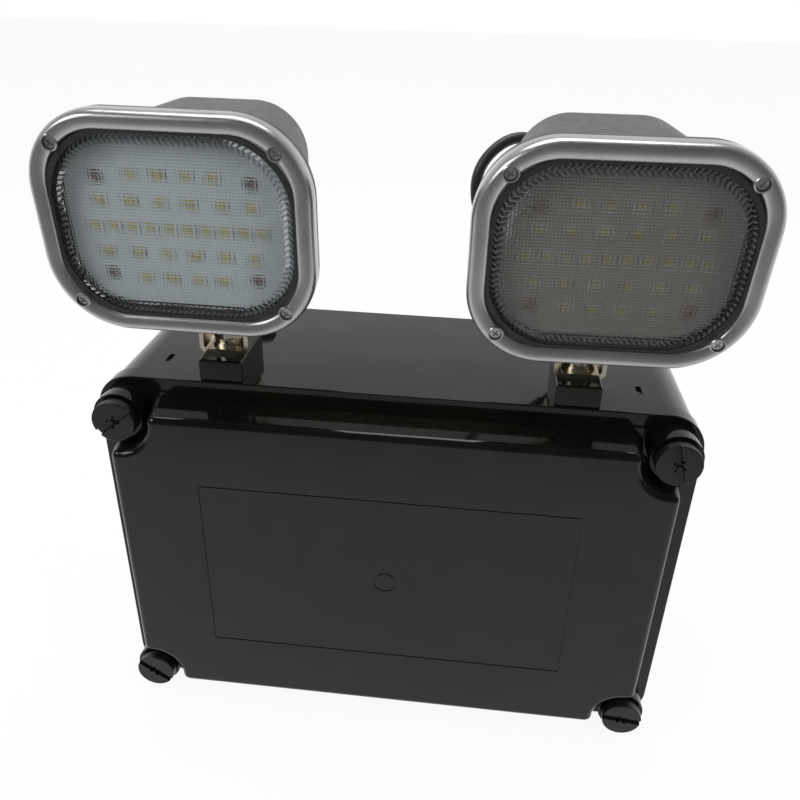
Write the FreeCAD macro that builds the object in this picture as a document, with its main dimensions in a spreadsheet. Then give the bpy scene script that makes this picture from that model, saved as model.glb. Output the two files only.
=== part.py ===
import FreeCAD, Part
import math
import os

import Sketcher

# Twin-head emergency light: a weatherproof box for the battery and electronics with a screwed front cover,
# and two flood heads that swivel and tilt on steel yokes bolted to posts on its top.
# Millimetres, +Z up, front facing -Y. The origin is the centre of the box's rear face, which goes on the wall.

SIZES = [
    # the box
    ("box_width", 278.0),
    ("box_height", 186.5),
    ("box_depth", 88.7),
    ("box_corner", 16.5),
    ("box_wall", 3.0),
    ("back_wall", 3.5),
    ("tower_radius", 10.5),
    ("fixing_pitch_x", 200.0),
    ("fixing_pitch_z", 110.0),
    ("fixing_hole_radius", 2.75),
    ("fixing_pad_radius", 7.0),
    ("fixing_pad_height", 2.0),
    ("knockout_radius", 10.0),
    ("knockout_depth", 0.8),
    ("knockout_inset", 30.0),
    ("top_slot_x", 112.5),
    ("top_slot_y", -74.8),
    ("top_slot_length", 8.0),
    ("top_slot_width", 2.6),
    ("top_slot_depth", 1.4),
    # the seal and the front cover
    ("gasket_thickness", 1.5),
    ("gasket_inset", 0.6),
    ("gasket_width", 2.4),
    ("cover_overhang", 1.0),
    ("collar_depth", 8.8),
    ("collar_lip_radius", 0.6),
    ("ledge_inset", 6.7),
    ("ledge_height", 1.2),
    ("panel_inset", 11.6),
    ("panel_side_inset", 10.6),
    ("panel_rise", 17.5),
    ("panel_draft", 2.4),
    ("panel_edge_radius", 3.2),
    ("panel_corner_radius", 4.0),
    ("cover_wall", 3.0),
    ("scallop_radius", 15.7),
    ("cover_boss_radius", 11.5),
    ("cover_boss_rise", 10.9),
    ("face_line_width", 178.0),
    ("face_line_height", 96.5),
    ("face_line_thickness", 0.7),
    ("face_mark_depth", 0.4),
    ("gate_ring_radius", 5.7),
    # the cover screws
    ("screw_inset_x", 14.2),
    ("screw_inset_z", 15.4),
    ("screw_head_radius", 10.0),
    ("screw_head_height", 4.6),
    ("screw_shank_radius", 3.8),
    ("screw_shank_length", 42.0),
    ("screw_hole_clearance", 0.4),
    ("screw_slot_width", 3.0),
    ("screw_slot_depth", 1.8),
    ("screw_cross_size", 6.4),
    ("screw_cross_width", 1.3),
    ("screw_seal_radius", 8.8),
    ("screw_seal_thickness", 1.4),
    # the posts and the swivel bolts
    ("post_spacing", 161.6),
    ("post_shift", 1.2),
    ("post_width", 20.0),
    ("post_depth", 36.5),
    ("post_height", 10.2),
    ("post_overhang_gap", 0.2),
    ("post_edge_radius", 0.8),
    ("swivel_y", -79.3),
    ("swivel_bolt_radius", 4.0),
    ("swivel_hole_clearance", 0.1),
    ("swivel_head_flats", 13.0),
    ("swivel_head_height", 5.3),
    ("spring_washer_radius", 7.2),
    ("spring_washer_thickness", 2.0),
    ("flat_washer_radius", 8.0),
    ("flat_washer_thickness", 1.6),
    ("swivel_nut_height", 6.5),
    ("swivel_tail", 3.0),
    # the yokes and the pivot bolts
    ("yoke_width", 23.0),
    ("yoke_depth", 20.0),
    ("yoke_sheet", 2.0),
    ("yoke_bend_radius", 1.6),
    ("pivot_height", 19.9),
    ("pivot_radius", 3.0),
    ("pivot_hole_clearance", 0.05),
    ("pivot_head_flats", 10.0),
    ("pivot_head_height", 4.0),
    ("pivot_nut_height", 5.0),
    ("pivot_tail", 2.0),
    ("lug_side_gap", 0.3),
    ("lug_radius", 8.0),
    # the flood heads, from the tilt pivot
    ("head_width", 107.2),
    ("head_height", 85.8),
    ("head_corner", 30.0),
    ("head_centre_height", 53.3),
    ("bezel_front", 50.3),
    ("bezel_depth", 7.0),
    ("bezel_crown_radius", 4.2),
    ("bezel_lip_radius", 1.6),
    ("opening_width", 93.6),
    ("opening_height", 72.2),
    ("opening_corner", 28.0),
    ("lens_rebate", 1.1),
    ("lens_thickness", 4.4),
    ("lens_clearance", 0.2),
    ("lens_seal_thickness", 0.8),
    ("lens_seal_reach", 1.2),
    ("flange_depth", 4.0),
    ("flange_inset", 0.5),
    ("housing_depth", 64.0),
    ("housing_front_inset", 8.0),
    ("housing_back_width", 71.0),
    ("housing_back_height", 67.0),
    ("housing_back_corner", 22.0),
    ("housing_edge_radius", 2.5),
    ("housing_wall", 2.5),
    ("housing_rim", 8.6),
    ("bezel_screw_pitch_x", 82.8),
    ("bezel_screw_pitch_z", 61.4),
    ("bezel_screw_radius", 1.5),
    ("bezel_screw_head_radius", 2.0),
    ("bezel_screw_head_height", 1.6),
    ("bezel_screw_length", 7.2),
    ("bezel_recess_radius", 2.4),
    ("bezel_recess_floor", 4.4),
    # the light engine in each head
    ("board_width", 83.0),
    ("board_height", 61.0),
    ("board_corner", 20.0),
    ("board_thickness", 1.6),
    ("board_setback", 3.6),
    ("heat_plate_thickness", 2.0),
    ("heat_plate_margin", 0.0),
    ("board_screw_pitch_x", 58.8),
    ("board_screw_pitch_z", 38.0),
    ("board_screw_radius", 1.4),
    ("board_screw_head_radius", 2.6),
    ("board_screw_head_height", 1.4),
    ("board_screw_length", 8.0),
    ("board_pillar_radius", 4.0),
    ("led_width", 3.5),
    ("led_height", 2.8),
    ("led_thickness", 0.7),
    ("led_row_pitch", 9.5),
    ("led_column_pitch", 11.3),
    ("led_middle_pitch", 7.1),
    # the cable glands and the lead
    ("gland_radius", 7.5),
    ("gland_flange_height", 3.0),
    ("gland_cap_radius", 6.2),
    ("gland_cap_height", 8.0),
    ("gland_neck_radius", 4.6),
    ("gland_neck_length", 7.0),
    ("gland_neck_clearance", 0.15),
    ("head_gland_height", 56.0),
    ("box_gland_y", -22.0),
    ("lead_radius", 2.5),
    ("lead_clearance", 0.05),
    ("lead_exit_run", 3.7),
    ("lead_entry_run", 20.0),
    # the parts inside the box
    ("battery_radius", 16.5),
    ("battery_length", 120.0),
    ("battery_count", 2.0),
    ("battery_x", -28.0),
    ("battery_margin", 1.0),
    ("clamp_thickness", 1.5),
    ("clamp_width", 16.0),
    ("clamp_foot", 10.0),
    ("clamp_offset", 34.0),
    ("clamp_gap", 0.3),
    ("circuit_width", 110.0),
    ("circuit_height", 62.0),
    ("circuit_thickness", 1.6),
    ("circuit_x", -40.0),
    ("circuit_margin", 4.0),
    ("circuit_stand", 8.0),
    ("circuit_screw_inset", 5.0),
    ("circuit_pillar_radius", 3.5),
    ("circuit_screw_radius", 1.4),
    ("circuit_screw_head_radius", 2.8),
    ("circuit_screw_head_height", 1.8),
    ("circuit_screw_length", 7.0),
    ("transformer_width", 46.0),
    ("transformer_height", 40.0),
    ("transformer_depth", 34.0),
    ("transformer_x", 78.0),
    ("transformer_z", 26.0),
    ("terminal_width", 42.0),
    ("terminal_height", 16.0),
    ("terminal_depth", 18.0),
    ("terminal_x", 78.0),
    ("terminal_z", -34.0),
    # how the heads are set
    ("pan_left", -0.7),
    ("tilt_left", -3.8),
    ("pan_right", 1.8),
    ("tilt_right", -6.0),
]

# The slots of the cover screws stand as they were last turned: (side, level) to degrees from horizontal.
SCREW_TURNS = {(-1, 1): 38.0, (1, 1): 105.0, (-1, -1): -36.0, (1, -1): -6.0}
LED_ROWS = {2: 4, 1: 6, 0: 10, -1: 6, -2: 4}
# The right head's lead between its two glands: a loop out past the head's side, then down behind it.
LEAD_ROUTE = [
    (77.6, -38.9, 186.8),
    (68.0, -31.5, 191.7),
    (56.0, -32.9, 196.8),
    (42.5, -40.5, 197.7),
    (30.4, -46.0, 185.6),
    (30.4, -46.0, 168.6),
    (38.0, -42.0, 153.5),
    (52.0, -34.0, 143.0),
    (68.0, -25.5, 136.0),
]
SIDES = {"left": -1, "right": 1}

doc = FreeCAD.newDocument("EmergencyLight")
sheet = doc.addObject("Spreadsheet::Sheet", "Sizes")
for row, (alias, number) in enumerate(SIZES, start=1):
    sheet.set(f"A{row}", alias)
    sheet.set(f"B{row}", str(number))
    sheet.setAlias(f"B{row}", alias)
doc.recompute()

parts = []


def size(alias):
    return float(getattr(sheet, alias))


def bound(text):
    """An expression in which each word that is an alias of the sheet is read from the sheet."""
    for alias in sorted((name for name, _ in SIZES), key=len, reverse=True):
        text = text.replace("<" + alias + ">", "Sizes." + alias)
    return text


def start_part(name):
    body = doc.addObject("PartDesign::Body", name)
    body.Label = name
    parts.append(body)
    return body


def origin_plane(body, role):
    return next(f for f in body.Origin.OriginFeatures if f.Role == role)


def start_sketch(body, name, role, offset="0"):
    """A sketch on one of the body's origin planes, moved along the plane's normal by the offset."""
    sketch = body.newObject("Sketcher::SketchObject", name)
    sketch.AttachmentSupport = [(origin_plane(body, role), "")]
    sketch.MapMode = "FlatFace"
    sketch.setExpression("AttachmentOffset.Base.z", bound(offset))
    return sketch


def named(sketch, label, constraint, expression):
    index = sketch.addConstraint(constraint)
    sketch.renameConstraint(index, label)
    sketch.setExpression("Constraints." + label, bound(expression))


def value_of(expression):
    """The present value of an expression on the sheet, used to draw a sketch near its final shape."""
    names = {alias: size(alias) for alias, _ in SIZES}
    text = expression
    for alias in sorted(names, key=len, reverse=True):
        text = text.replace("<" + alias + ">", repr(names[alias]))
    return float(FreeCAD.Units.Quantity(text).Value)


def rounded_rectangle(sketch, tag, width, height, radius, at_x="0", at_y="0"):
    """A rounded rectangle about (at_x, at_y), with its width, height and corner radius bound to the sheet."""
    w, h, r = value_of(width) / 2, value_of(height) / 2, value_of(radius)
    x, y = value_of(at_x), value_of(at_y)
    v = FreeCAD.Vector
    lines = [
        Part.LineSegment(v(x - w + r, y - h, 0), v(x + w - r, y - h, 0)),
        Part.LineSegment(v(x + w, y - h + r, 0), v(x + w, y + h - r, 0)),
        Part.LineSegment(v(x + w - r, y + h, 0), v(x - w + r, y + h, 0)),
        Part.LineSegment(v(x - w, y + h - r, 0), v(x - w, y - h + r, 0)),
    ]
    centres = [(w - r, -h + r, -90), (w - r, h - r, 0), (-w + r, h - r, 90), (-w + r, -h + r, 180)]
    arcs = []
    for cx, cy, start in centres:
        circle = Part.Circle(v(x + cx, y + cy, 0), v(0, 0, 1), r)
        arcs.append(Part.ArcOfCircle(circle, math.radians(start), math.radians(start + 90)))
    edge = [sketch.addGeometry(line) for line in lines]
    turn = [sketch.addGeometry(arc) for arc in arcs]
    for i in range(4):
        sketch.addConstraint(Sketcher.Constraint("Tangent", edge[i], 2, turn[i], 1))
        sketch.addConstraint(Sketcher.Constraint("Tangent", turn[i], 2, edge[(i + 1) % 4], 1))
    for i in (0, 2):
        sketch.addConstraint(Sketcher.Constraint("Horizontal", edge[i]))
        sketch.addConstraint(Sketcher.Constraint("Vertical", edge[i + 1]))
    for i in range(3):
        sketch.addConstraint(Sketcher.Constraint("Equal", turn[i], turn[i + 1]))
    named(sketch, tag + "_width", Sketcher.Constraint("DistanceX", turn[3], 3, turn[0], 3, 2 * (w - r)),
          f"({width}) - 2 * ({radius})")
    named(sketch, tag + "_height", Sketcher.Constraint("DistanceY", turn[0], 3, turn[1], 3, 2 * (h - r)),
          f"({height}) - 2 * ({radius})")
    named(sketch, tag + "_radius", Sketcher.Constraint("Radius", turn[0], r), radius)
    named(sketch, tag + "_x", Sketcher.Constraint("DistanceX", -1, 1, turn[0], 3, x + w - r),
          f"({at_x}) + ({width}) / 2 - ({radius})")
    named(sketch, tag + "_y", Sketcher.Constraint("DistanceY", -1, 1, turn[1], 3, y + h - r),
          f"({at_y}) + ({height}) / 2 - ({radius})")


def rectangle(sketch, tag, width, height, at_x="0", at_y="0"):
    """A plain rectangle about (at_x, at_y)."""
    w, h = value_of(width) / 2, value_of(height) / 2
    x, y = value_of(at_x), value_of(at_y)
    corners = [(x - w, y - h), (x + w, y - h), (x + w, y + h), (x - w, y + h)]
    edge = []
    for (ax, ay), (bx, by) in zip(corners, corners[1:] + corners[:1]):
        line = Part.LineSegment(FreeCAD.Vector(ax, ay, 0), FreeCAD.Vector(bx, by, 0))
        edge.append(sketch.addGeometry(line))
    for i in range(4):
        sketch.addConstraint(Sketcher.Constraint("Coincident", edge[i], 2, edge[(i + 1) % 4], 1))
    for i in (0, 2):
        sketch.addConstraint(Sketcher.Constraint("Horizontal", edge[i]))
        sketch.addConstraint(Sketcher.Constraint("Vertical", edge[i + 1]))
    named(sketch, tag + "_width", Sketcher.Constraint("DistanceX", edge[0], 1, edge[0], 2, 2 * w), width)
    named(sketch, tag + "_height", Sketcher.Constraint("DistanceY", edge[1], 1, edge[1], 2, 2 * h), height)
    named(sketch, tag + "_x", Sketcher.Constraint("DistanceX", -1, 1, edge[0], 2, x + w),
          f"({at_x}) + ({width}) / 2")
    named(sketch, tag + "_y", Sketcher.Constraint("DistanceY", -1, 1, edge[1], 2, y + h),
          f"({at_y}) + ({height}) / 2")


def circle(sketch, tag, radius, at_x="0", at_y="0"):
    x, y, r = value_of(at_x), value_of(at_y), value_of(radius)
    index = sketch.addGeometry(Part.Circle(FreeCAD.Vector(x, y, 0), FreeCAD.Vector(0, 0, 1), r))
    named(sketch, tag + "_radius", Sketcher.Constraint("Radius", index, r), radius)
    named(sketch, tag + "_x", Sketcher.Constraint("DistanceX", -1, 1, index, 3, x), at_x)
    named(sketch, tag + "_y", Sketcher.Constraint("DistanceY", -1, 1, index, 3, y), at_y)


def scalloped_rectangle(sketch, width, height, radius, centre_x, centre_y):
    """A rectangle whose corners are hollowed by arcs about the points (+-centre_x, +-centre_y)."""
    w, h, r = value_of(width) / 2, value_of(height) / 2, value_of(radius)
    cx, cy = value_of(centre_x), value_of(centre_y)
    cut_x = cx - math.sqrt(r * r - (h - cy) ** 2)
    cut_y = cy - math.sqrt(r * r - (w - cx) ** 2)
    v = FreeCAD.Vector
    edge = [
        sketch.addGeometry(Part.LineSegment(v(-cut_x, -h, 0), v(cut_x, -h, 0))),
        sketch.addGeometry(Part.LineSegment(v(w, -cut_y, 0), v(w, cut_y, 0))),
        sketch.addGeometry(Part.LineSegment(v(cut_x, h, 0), v(-cut_x, h, 0))),
        sketch.addGeometry(Part.LineSegment(v(-w, cut_y, 0), v(-w, -cut_y, 0))),
    ]
    hollows = []
    for sx, sy in ((1, -1), (1, 1), (-1, 1), (-1, -1)):
        on_flat = v(sx * cut_x, sy * h, 0)
        on_side = v(sx * w, sy * cut_y, 0)
        centre = v(sx * cx, sy * cy, 0)
        middle = (on_flat + on_side) * 0.5 - centre
        middle.normalize()
        first, last = (on_flat, on_side) if sx * sy < 0 else (on_side, on_flat)
        arc = Part.Arc(first, centre + middle * r, last)
        hollows.append(sketch.addGeometry(arc))
    # such an arc runs clockwise, so its own start and end are swapped in the sketch
    for i in range(4):
        sketch.addConstraint(Sketcher.Constraint("Coincident", edge[i], 2, hollows[i], 2))
        sketch.addConstraint(Sketcher.Constraint("Coincident", hollows[i], 1, edge[(i + 1) % 4], 1))
    for i in (0, 2):
        sketch.addConstraint(Sketcher.Constraint("Horizontal", edge[i]))
        sketch.addConstraint(Sketcher.Constraint("Vertical", edge[i + 1]))
    for i in range(3):
        sketch.addConstraint(Sketcher.Constraint("Equal", hollows[i], hollows[i + 1]))
    named(sketch, "radius", Sketcher.Constraint("Radius", hollows[0], r), radius)
    for i, (sx, sy) in enumerate(((1, -1), (1, 1), (-1, 1), (-1, -1))):
        named(sketch, f"centre_x_{i}", Sketcher.Constraint("DistanceX", -1, 1, hollows[i], 3, sx * cx),
              f"{sx} * ({centre_x})")
        named(sketch, f"centre_y_{i}", Sketcher.Constraint("DistanceY", -1, 1, hollows[i], 3, sy * cy),
              f"{sy} * ({centre_y})")
    named(sketch, "bottom", Sketcher.Constraint("DistanceY", -1, 1, edge[0], 1, -h), f"-({height}) / 2")
    named(sketch, "top", Sketcher.Constraint("DistanceY", -1, 1, edge[2], 1, h), f"({height}) / 2")
    named(sketch, "right", Sketcher.Constraint("DistanceX", -1, 1, edge[1], 1, w), f"({width}) / 2")
    named(sketch, "left", Sketcher.Constraint("DistanceX", -1, 1, edge[3], 1, -w), f"-({width}) / 2")


def extrude(body, name, sketch, length, cut=False, reverse=False):
    """Pads or pockets a sketch, and makes sure that the solid really grew or shrank."""
    before = body.Shape.Volume if body.Tip and not body.Shape.isNull() else 0.0
    feature = body.newObject("PartDesign::Pocket" if cut else "PartDesign::Pad", name)
    feature.Profile = sketch
    feature.setExpression("Length", bound(length))
    feature.Reversed = reverse
    doc.recompute()
    change = body.Shape.Volume - before
    if (change >= -1e-6) if cut else (change <= 1e-6):
        raise RuntimeError(f"{name} changes nothing")
    return feature


def round_edges(body, name, radius, wanted):
    """Fillets the edges of the body for which wanted(edge) is true."""
    base = body.Tip
    names = [f"Edge{i}" for i, edge in enumerate(base.Shape.Edges, start=1) if wanted(edge)]
    if not names:
        raise RuntimeError(f"{name} finds no edge")
    feature = body.newObject("PartDesign::Fillet", name)
    feature.Base = (base, names)
    feature.setExpression("Radius", bound(radius))
    doc.recompute()
    return feature


def along(edge, axis):
    """Is the edge straight, and parallel to the axis?"""
    if not isinstance(edge.Curve, Part.Line):
        return False
    return abs(abs(edge.tangentAt(edge.FirstParameter).dot(axis)) - 1) < 1e-6


def lies_at(edge, coordinate, number, tolerance=0.01):
    """Does the whole edge lie where the coordinate (0, 1 or 2) has this value?"""
    points = edge.discretize(5)
    return all(abs(point[coordinate] - number) < tolerance for point in points)


def group_part(name, solids):
    """A node of separate solids that are alike, such as the four screws of a board."""
    feature = doc.addObject("Part::Feature", name)
    feature.Label = name
    feature.Shape = Part.makeCompound(solids)
    parts.append(feature)
    return feature


X_AXIS = FreeCAD.Vector(1, 0, 0)
Y_AXIS = FreeCAD.Vector(0, 1, 0)
Z_AXIS = FreeCAD.Vector(0, 0, 1)
CORNERS = [(1, -1), (1, 1), (-1, 1), (-1, -1)]


# ---------------------------------------------------------------- the box

COVER_WIDTH = "<box_width> + 2 * <cover_overhang>"
COVER_HEIGHT = "<box_height> + 2 * <cover_overhang>"
SCREW_X = "<box_width> / 2 + <cover_overhang> - <screw_inset_x>"
SCREW_Z = "<box_height> / 2 + <cover_overhang> - <screw_inset_z>"
SEAM = "<box_depth> + <gasket_thickness>"
COLLAR_FRONT = SEAM + " + <collar_depth>"
PANEL_FRONT = COLLAR_FRONT + " + <panel_rise>"
SCREW_HOLE = "<screw_shank_radius> + <screw_hole_clearance>"
BOX_TOP = "<box_height> / 2"
POST_TOP = "<box_height> / 2 + <cover_overhang> + <post_height>"
SWIVEL_HOLE = "<swivel_bolt_radius> + <swivel_hole_clearance>"
NECK_HOLE = "<gland_neck_radius> + <gland_neck_clearance>"
LEFT_POST_X = "<post_shift> - <post_spacing> / 2"
RIGHT_POST_X = "<post_shift> + <post_spacing> / 2"
POST_X = {"left": LEFT_POST_X, "right": RIGHT_POST_X}
CIRCUIT_Z = "<box_height> / 2 - <box_wall> - <circuit_margin> - <circuit_height> / 2"
BATTERY_HALF = "<battery_count> * <battery_radius> + <clamp_gap> + <clamp_thickness> + <clamp_foot>"
BATTERY_Z = f"{BATTERY_HALF} + <battery_margin> + <box_wall> - <box_height> / 2"


def make_rear_box():
    body = start_part("rear_box")
    sketch = start_sketch(body, "BoxOutline", "XZ_Plane")
    rounded_rectangle(sketch, "outline", "<box_width>", "<box_height>", "<box_corner>")
    extrude(body, "BoxBlock", sketch, "<box_depth>")
    sketch = start_sketch(body, "BoxInside", "XZ_Plane", "<back_wall>")
    rounded_rectangle(sketch, "inside", "<box_width> - 2 * <box_wall>", "<box_height> - 2 * <box_wall>",
                      "<box_corner> - <box_wall>")
    extrude(body, "BoxHollow", sketch, "<box_depth>", cut=True, reverse=True)
    # towers that take the cover screws, pads round the fixing holes, pillars under the circuit board
    sketch = start_sketch(body, "TowerCircles", "XZ_Plane", "<back_wall> / 2")
    for i, (sx, sz) in enumerate(CORNERS):
        circle(sketch, f"tower{i}", "<tower_radius>", f"{sx} * ({SCREW_X})", f"{sz} * ({SCREW_Z})")
    extrude(body, "Towers", sketch, "<box_depth> - <back_wall> / 2")
    sketch = start_sketch(body, "FixingPadCircles", "XZ_Plane", "<back_wall> / 2")
    for i, (sx, sz) in enumerate(CORNERS):
        circle(sketch, f"pad{i}", "<fixing_pad_radius>", f"{sx} * <fixing_pitch_x> / 2",
               f"{sz} * <fixing_pitch_z> / 2")
    extrude(body, "FixingPads", sketch, "<back_wall> / 2 + <fixing_pad_height>")
    sketch = start_sketch(body, "CircuitPillarCircles", "XZ_Plane", "<back_wall> / 2")
    for i, (sx, sz) in enumerate(CORNERS):
        circle(sketch, f"pillar{i}", "<circuit_pillar_radius>",
               f"<circuit_x> + {sx} * (<circuit_width> / 2 - <circuit_screw_inset>)",
               f"({CIRCUIT_Z}) + {sz} * (<circuit_height> / 2 - <circuit_screw_inset>)")
    extrude(body, "CircuitPillars", sketch, "<back_wall> / 2 + <circuit_stand>")
    # holes
    sketch = start_sketch(body, "TowerHoleCircles", "XZ_Plane", "<box_depth>")
    for i, (sx, sz) in enumerate(CORNERS):
        circle(sketch, f"hole{i}", SCREW_HOLE, f"{sx} * ({SCREW_X})", f"{sz} * ({SCREW_Z})")
    extrude(body, "TowerHoles", sketch, "<screw_shank_length>", cut=True)
    sketch = start_sketch(body, "FixingHoleCircles", "XZ_Plane")
    for i, (sx, sz) in enumerate(CORNERS):
        circle(sketch, f"hole{i}", "<fixing_hole_radius>", f"{sx} * <fixing_pitch_x> / 2",
               f"{sz} * <fixing_pitch_z> / 2")
    extrude(body, "FixingHoles", sketch, "<back_wall> + <fixing_pad_height>", cut=True, reverse=True)
    sketch = start_sketch(body, "CircuitScrewHoles", "XZ_Plane", "<back_wall> + <circuit_stand>")
    for i, (sx, sz) in enumerate(CORNERS):
        circle(sketch, f"hole{i}", "<circuit_screw_radius>",
               f"<circuit_x> + {sx} * (<circuit_width> / 2 - <circuit_screw_inset>)",
               f"({CIRCUIT_Z}) + {sz} * (<circuit_height> / 2 - <circuit_screw_inset>)")
    extrude(body, "CircuitHoles", sketch, "<circuit_screw_length>", cut=True)
    sketch = start_sketch(body, "TopHoles", "XY_Plane", BOX_TOP)
    for side_name, post_x in POST_X.items():
        circle(sketch, "swivel_" + side_name, SWIVEL_HOLE, post_x, "<swivel_y>")
        circle(sketch, "gland_" + side_name, NECK_HOLE, post_x, "<box_gland_y>")
    extrude(body, "SwivelAndGlandHoles", sketch, "2 * <box_wall>", cut=True)
    sketch = start_sketch(body, "TopSlots", "XY_Plane", BOX_TOP)
    for i, side in enumerate((-1, 1)):
        rectangle(sketch, f"slot{i}", "<top_slot_width>", "<top_slot_length>",
                  f"{side} * <top_slot_x>", "<top_slot_y>")
    extrude(body, "TopSlotPockets", sketch, "<top_slot_depth>", cut=True)
    # blind cable entries in the bottom, to be knocked out as needed
    sketch = start_sketch(body, "KnockoutCircles", "XY_Plane", "-" + BOX_TOP)
    for i, side in enumerate((-1, 1)):
        circle(sketch, f"knockout{i}", "<knockout_radius>", f"{side} * <box_width> / 4", "-<knockout_inset>")
    extrude(body, "Knockouts", sketch, "<knockout_depth>", cut=True, reverse=True)
    round_edges(body, "BackEdge", "<box_wall> / 3",
                lambda edge: lies_at(edge, 1, 0) and edge.Length > 4 * size("knockout_radius"))


def make_cover_gasket():
    body = start_part("cover_gasket")
    sketch = start_sketch(body, "GasketRing", "XZ_Plane", "<box_depth>")
    rounded_rectangle(sketch, "outer", "<box_width> - 2 * <gasket_inset>",
                      "<box_height> - 2 * <gasket_inset>", "<box_corner> - <gasket_inset>")
    rounded_rectangle(sketch, "inner", "<box_width> - 2 * <gasket_inset> - 2 * <gasket_width>",
                      "<box_height> - 2 * <gasket_inset> - 2 * <gasket_width>",
                      "<box_corner> - <gasket_inset> - <gasket_width>")
    extrude(body, "GasketPad", sketch, "<gasket_thickness>")


def make_front_cover():
    body = start_part("front_cover")
    sketch = start_sketch(body, "CollarOutline", "XZ_Plane", SEAM)
    rounded_rectangle(sketch, "outline", COVER_WIDTH, COVER_HEIGHT, "<box_corner> + <cover_overhang>")
    extrude(body, "Collar", sketch, "<collar_depth>")
    collar_front = -value_of(COLLAR_FRONT)
    round_edges(body, "CollarLip", "<collar_lip_radius>", lambda edge: lies_at(edge, 1, collar_front))
    sketch = start_sketch(body, "LedgeOutline", "XZ_Plane", COLLAR_FRONT)
    scalloped_rectangle(sketch, f"{COVER_WIDTH} - 2 * <ledge_inset>", f"{COVER_HEIGHT} - 2 * <ledge_inset>",
                        "<cover_boss_radius> - <ledge_height> / 2", SCREW_X, SCREW_Z)
    extrude(body, "Ledge", sketch, "<ledge_height>")
    base = start_sketch(body, "PanelBase", "XZ_Plane", COLLAR_FRONT)
    scalloped_rectangle(base, f"{COVER_WIDTH} - 2 * (<panel_side_inset> - <panel_draft>)",
                        f"{COVER_HEIGHT} - 2 * (<panel_inset> - <panel_draft>)",
                        "<scallop_radius> - <panel_draft>", SCREW_X, SCREW_Z)
    face = start_sketch(body, "PanelFace", "XZ_Plane", PANEL_FRONT)
    scalloped_rectangle(face, f"{COVER_WIDTH} - 2 * <panel_side_inset>",
                        f"{COVER_HEIGHT} - 2 * <panel_inset>", "<scallop_radius>", SCREW_X, SCREW_Z)
    loft = body.newObject("PartDesign::AdditiveLoft", "Panel")
    loft.Profile = base
    loft.Sections = [face]
    loft.Ruled = True
    doc.recompute()
    sketch = start_sketch(body, "BossCircles", "XZ_Plane", COLLAR_FRONT)
    for i, (sx, sz) in enumerate(CORNERS):
        circle(sketch, f"boss{i}", "<cover_boss_radius>", f"{sx} * ({SCREW_X})", f"{sz} * ({SCREW_Z})")
    extrude(body, "CornerBosses", sketch, "<cover_boss_rise>")
    panel_front = -value_of(PANEL_FRONT)
    ledge_front = -value_of(COLLAR_FRONT) - size("ledge_height")

    def at_horn(edge):
        """The leaning edges, from the ledge to the face, where a scallop meets the panel's sides."""
        ends = sorted(vertex.Point.y for vertex in edge.Vertexes)
        return abs(ends[0] - panel_front) < 0.01 and abs(ends[-1] - ledge_front) < 0.01

    round_edges(body, "HornRounds", "<panel_corner_radius>", at_horn)
    round_edges(body, "PanelFrontEdge", "<panel_edge_radius>", lambda edge: lies_at(edge, 1, panel_front))
    # hollow behind the panel, leaving the wall
    sketch = start_sketch(body, "InsideOutline", "XZ_Plane", SEAM)
    scalloped_rectangle(sketch, f"{COVER_WIDTH} - 2 * <panel_side_inset> - 2 * <cover_wall>",
                        f"{COVER_HEIGHT} - 2 * <panel_inset> - 2 * <cover_wall>",
                        "<scallop_radius> + <cover_wall>", SCREW_X, SCREW_Z)
    extrude(body, "Inside", sketch, "<collar_depth> + <panel_rise> - <cover_wall>", cut=True, reverse=True)
    sketch = start_sketch(body, "ScrewHoleCircles", "XZ_Plane", SEAM)
    for i, (sx, sz) in enumerate(CORNERS):
        circle(sketch, f"hole{i}", SCREW_HOLE, f"{sx} * ({SCREW_X})", f"{sz} * ({SCREW_Z})")
    extrude(body, "ScrewHoles", sketch, "<collar_depth> + <cover_boss_rise>", cut=True, reverse=True)
    # the moulded frame line and the gate ring on the face
    sketch = start_sketch(body, "FaceLines", "XZ_Plane", PANEL_FRONT)
    rectangle(sketch, "outer", "<face_line_width>", "<face_line_height>")
    rectangle(sketch, "inner", "<face_line_width> - 2 * <face_line_thickness>",
              "<face_line_height> - 2 * <face_line_thickness>")
    circle(sketch, "ring_outer", "<gate_ring_radius>")
    circle(sketch, "ring_inner", "<gate_ring_radius> - <face_line_thickness>")
    extrude(body, "FaceMarks", sketch, "<face_mark_depth>", cut=True)


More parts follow.
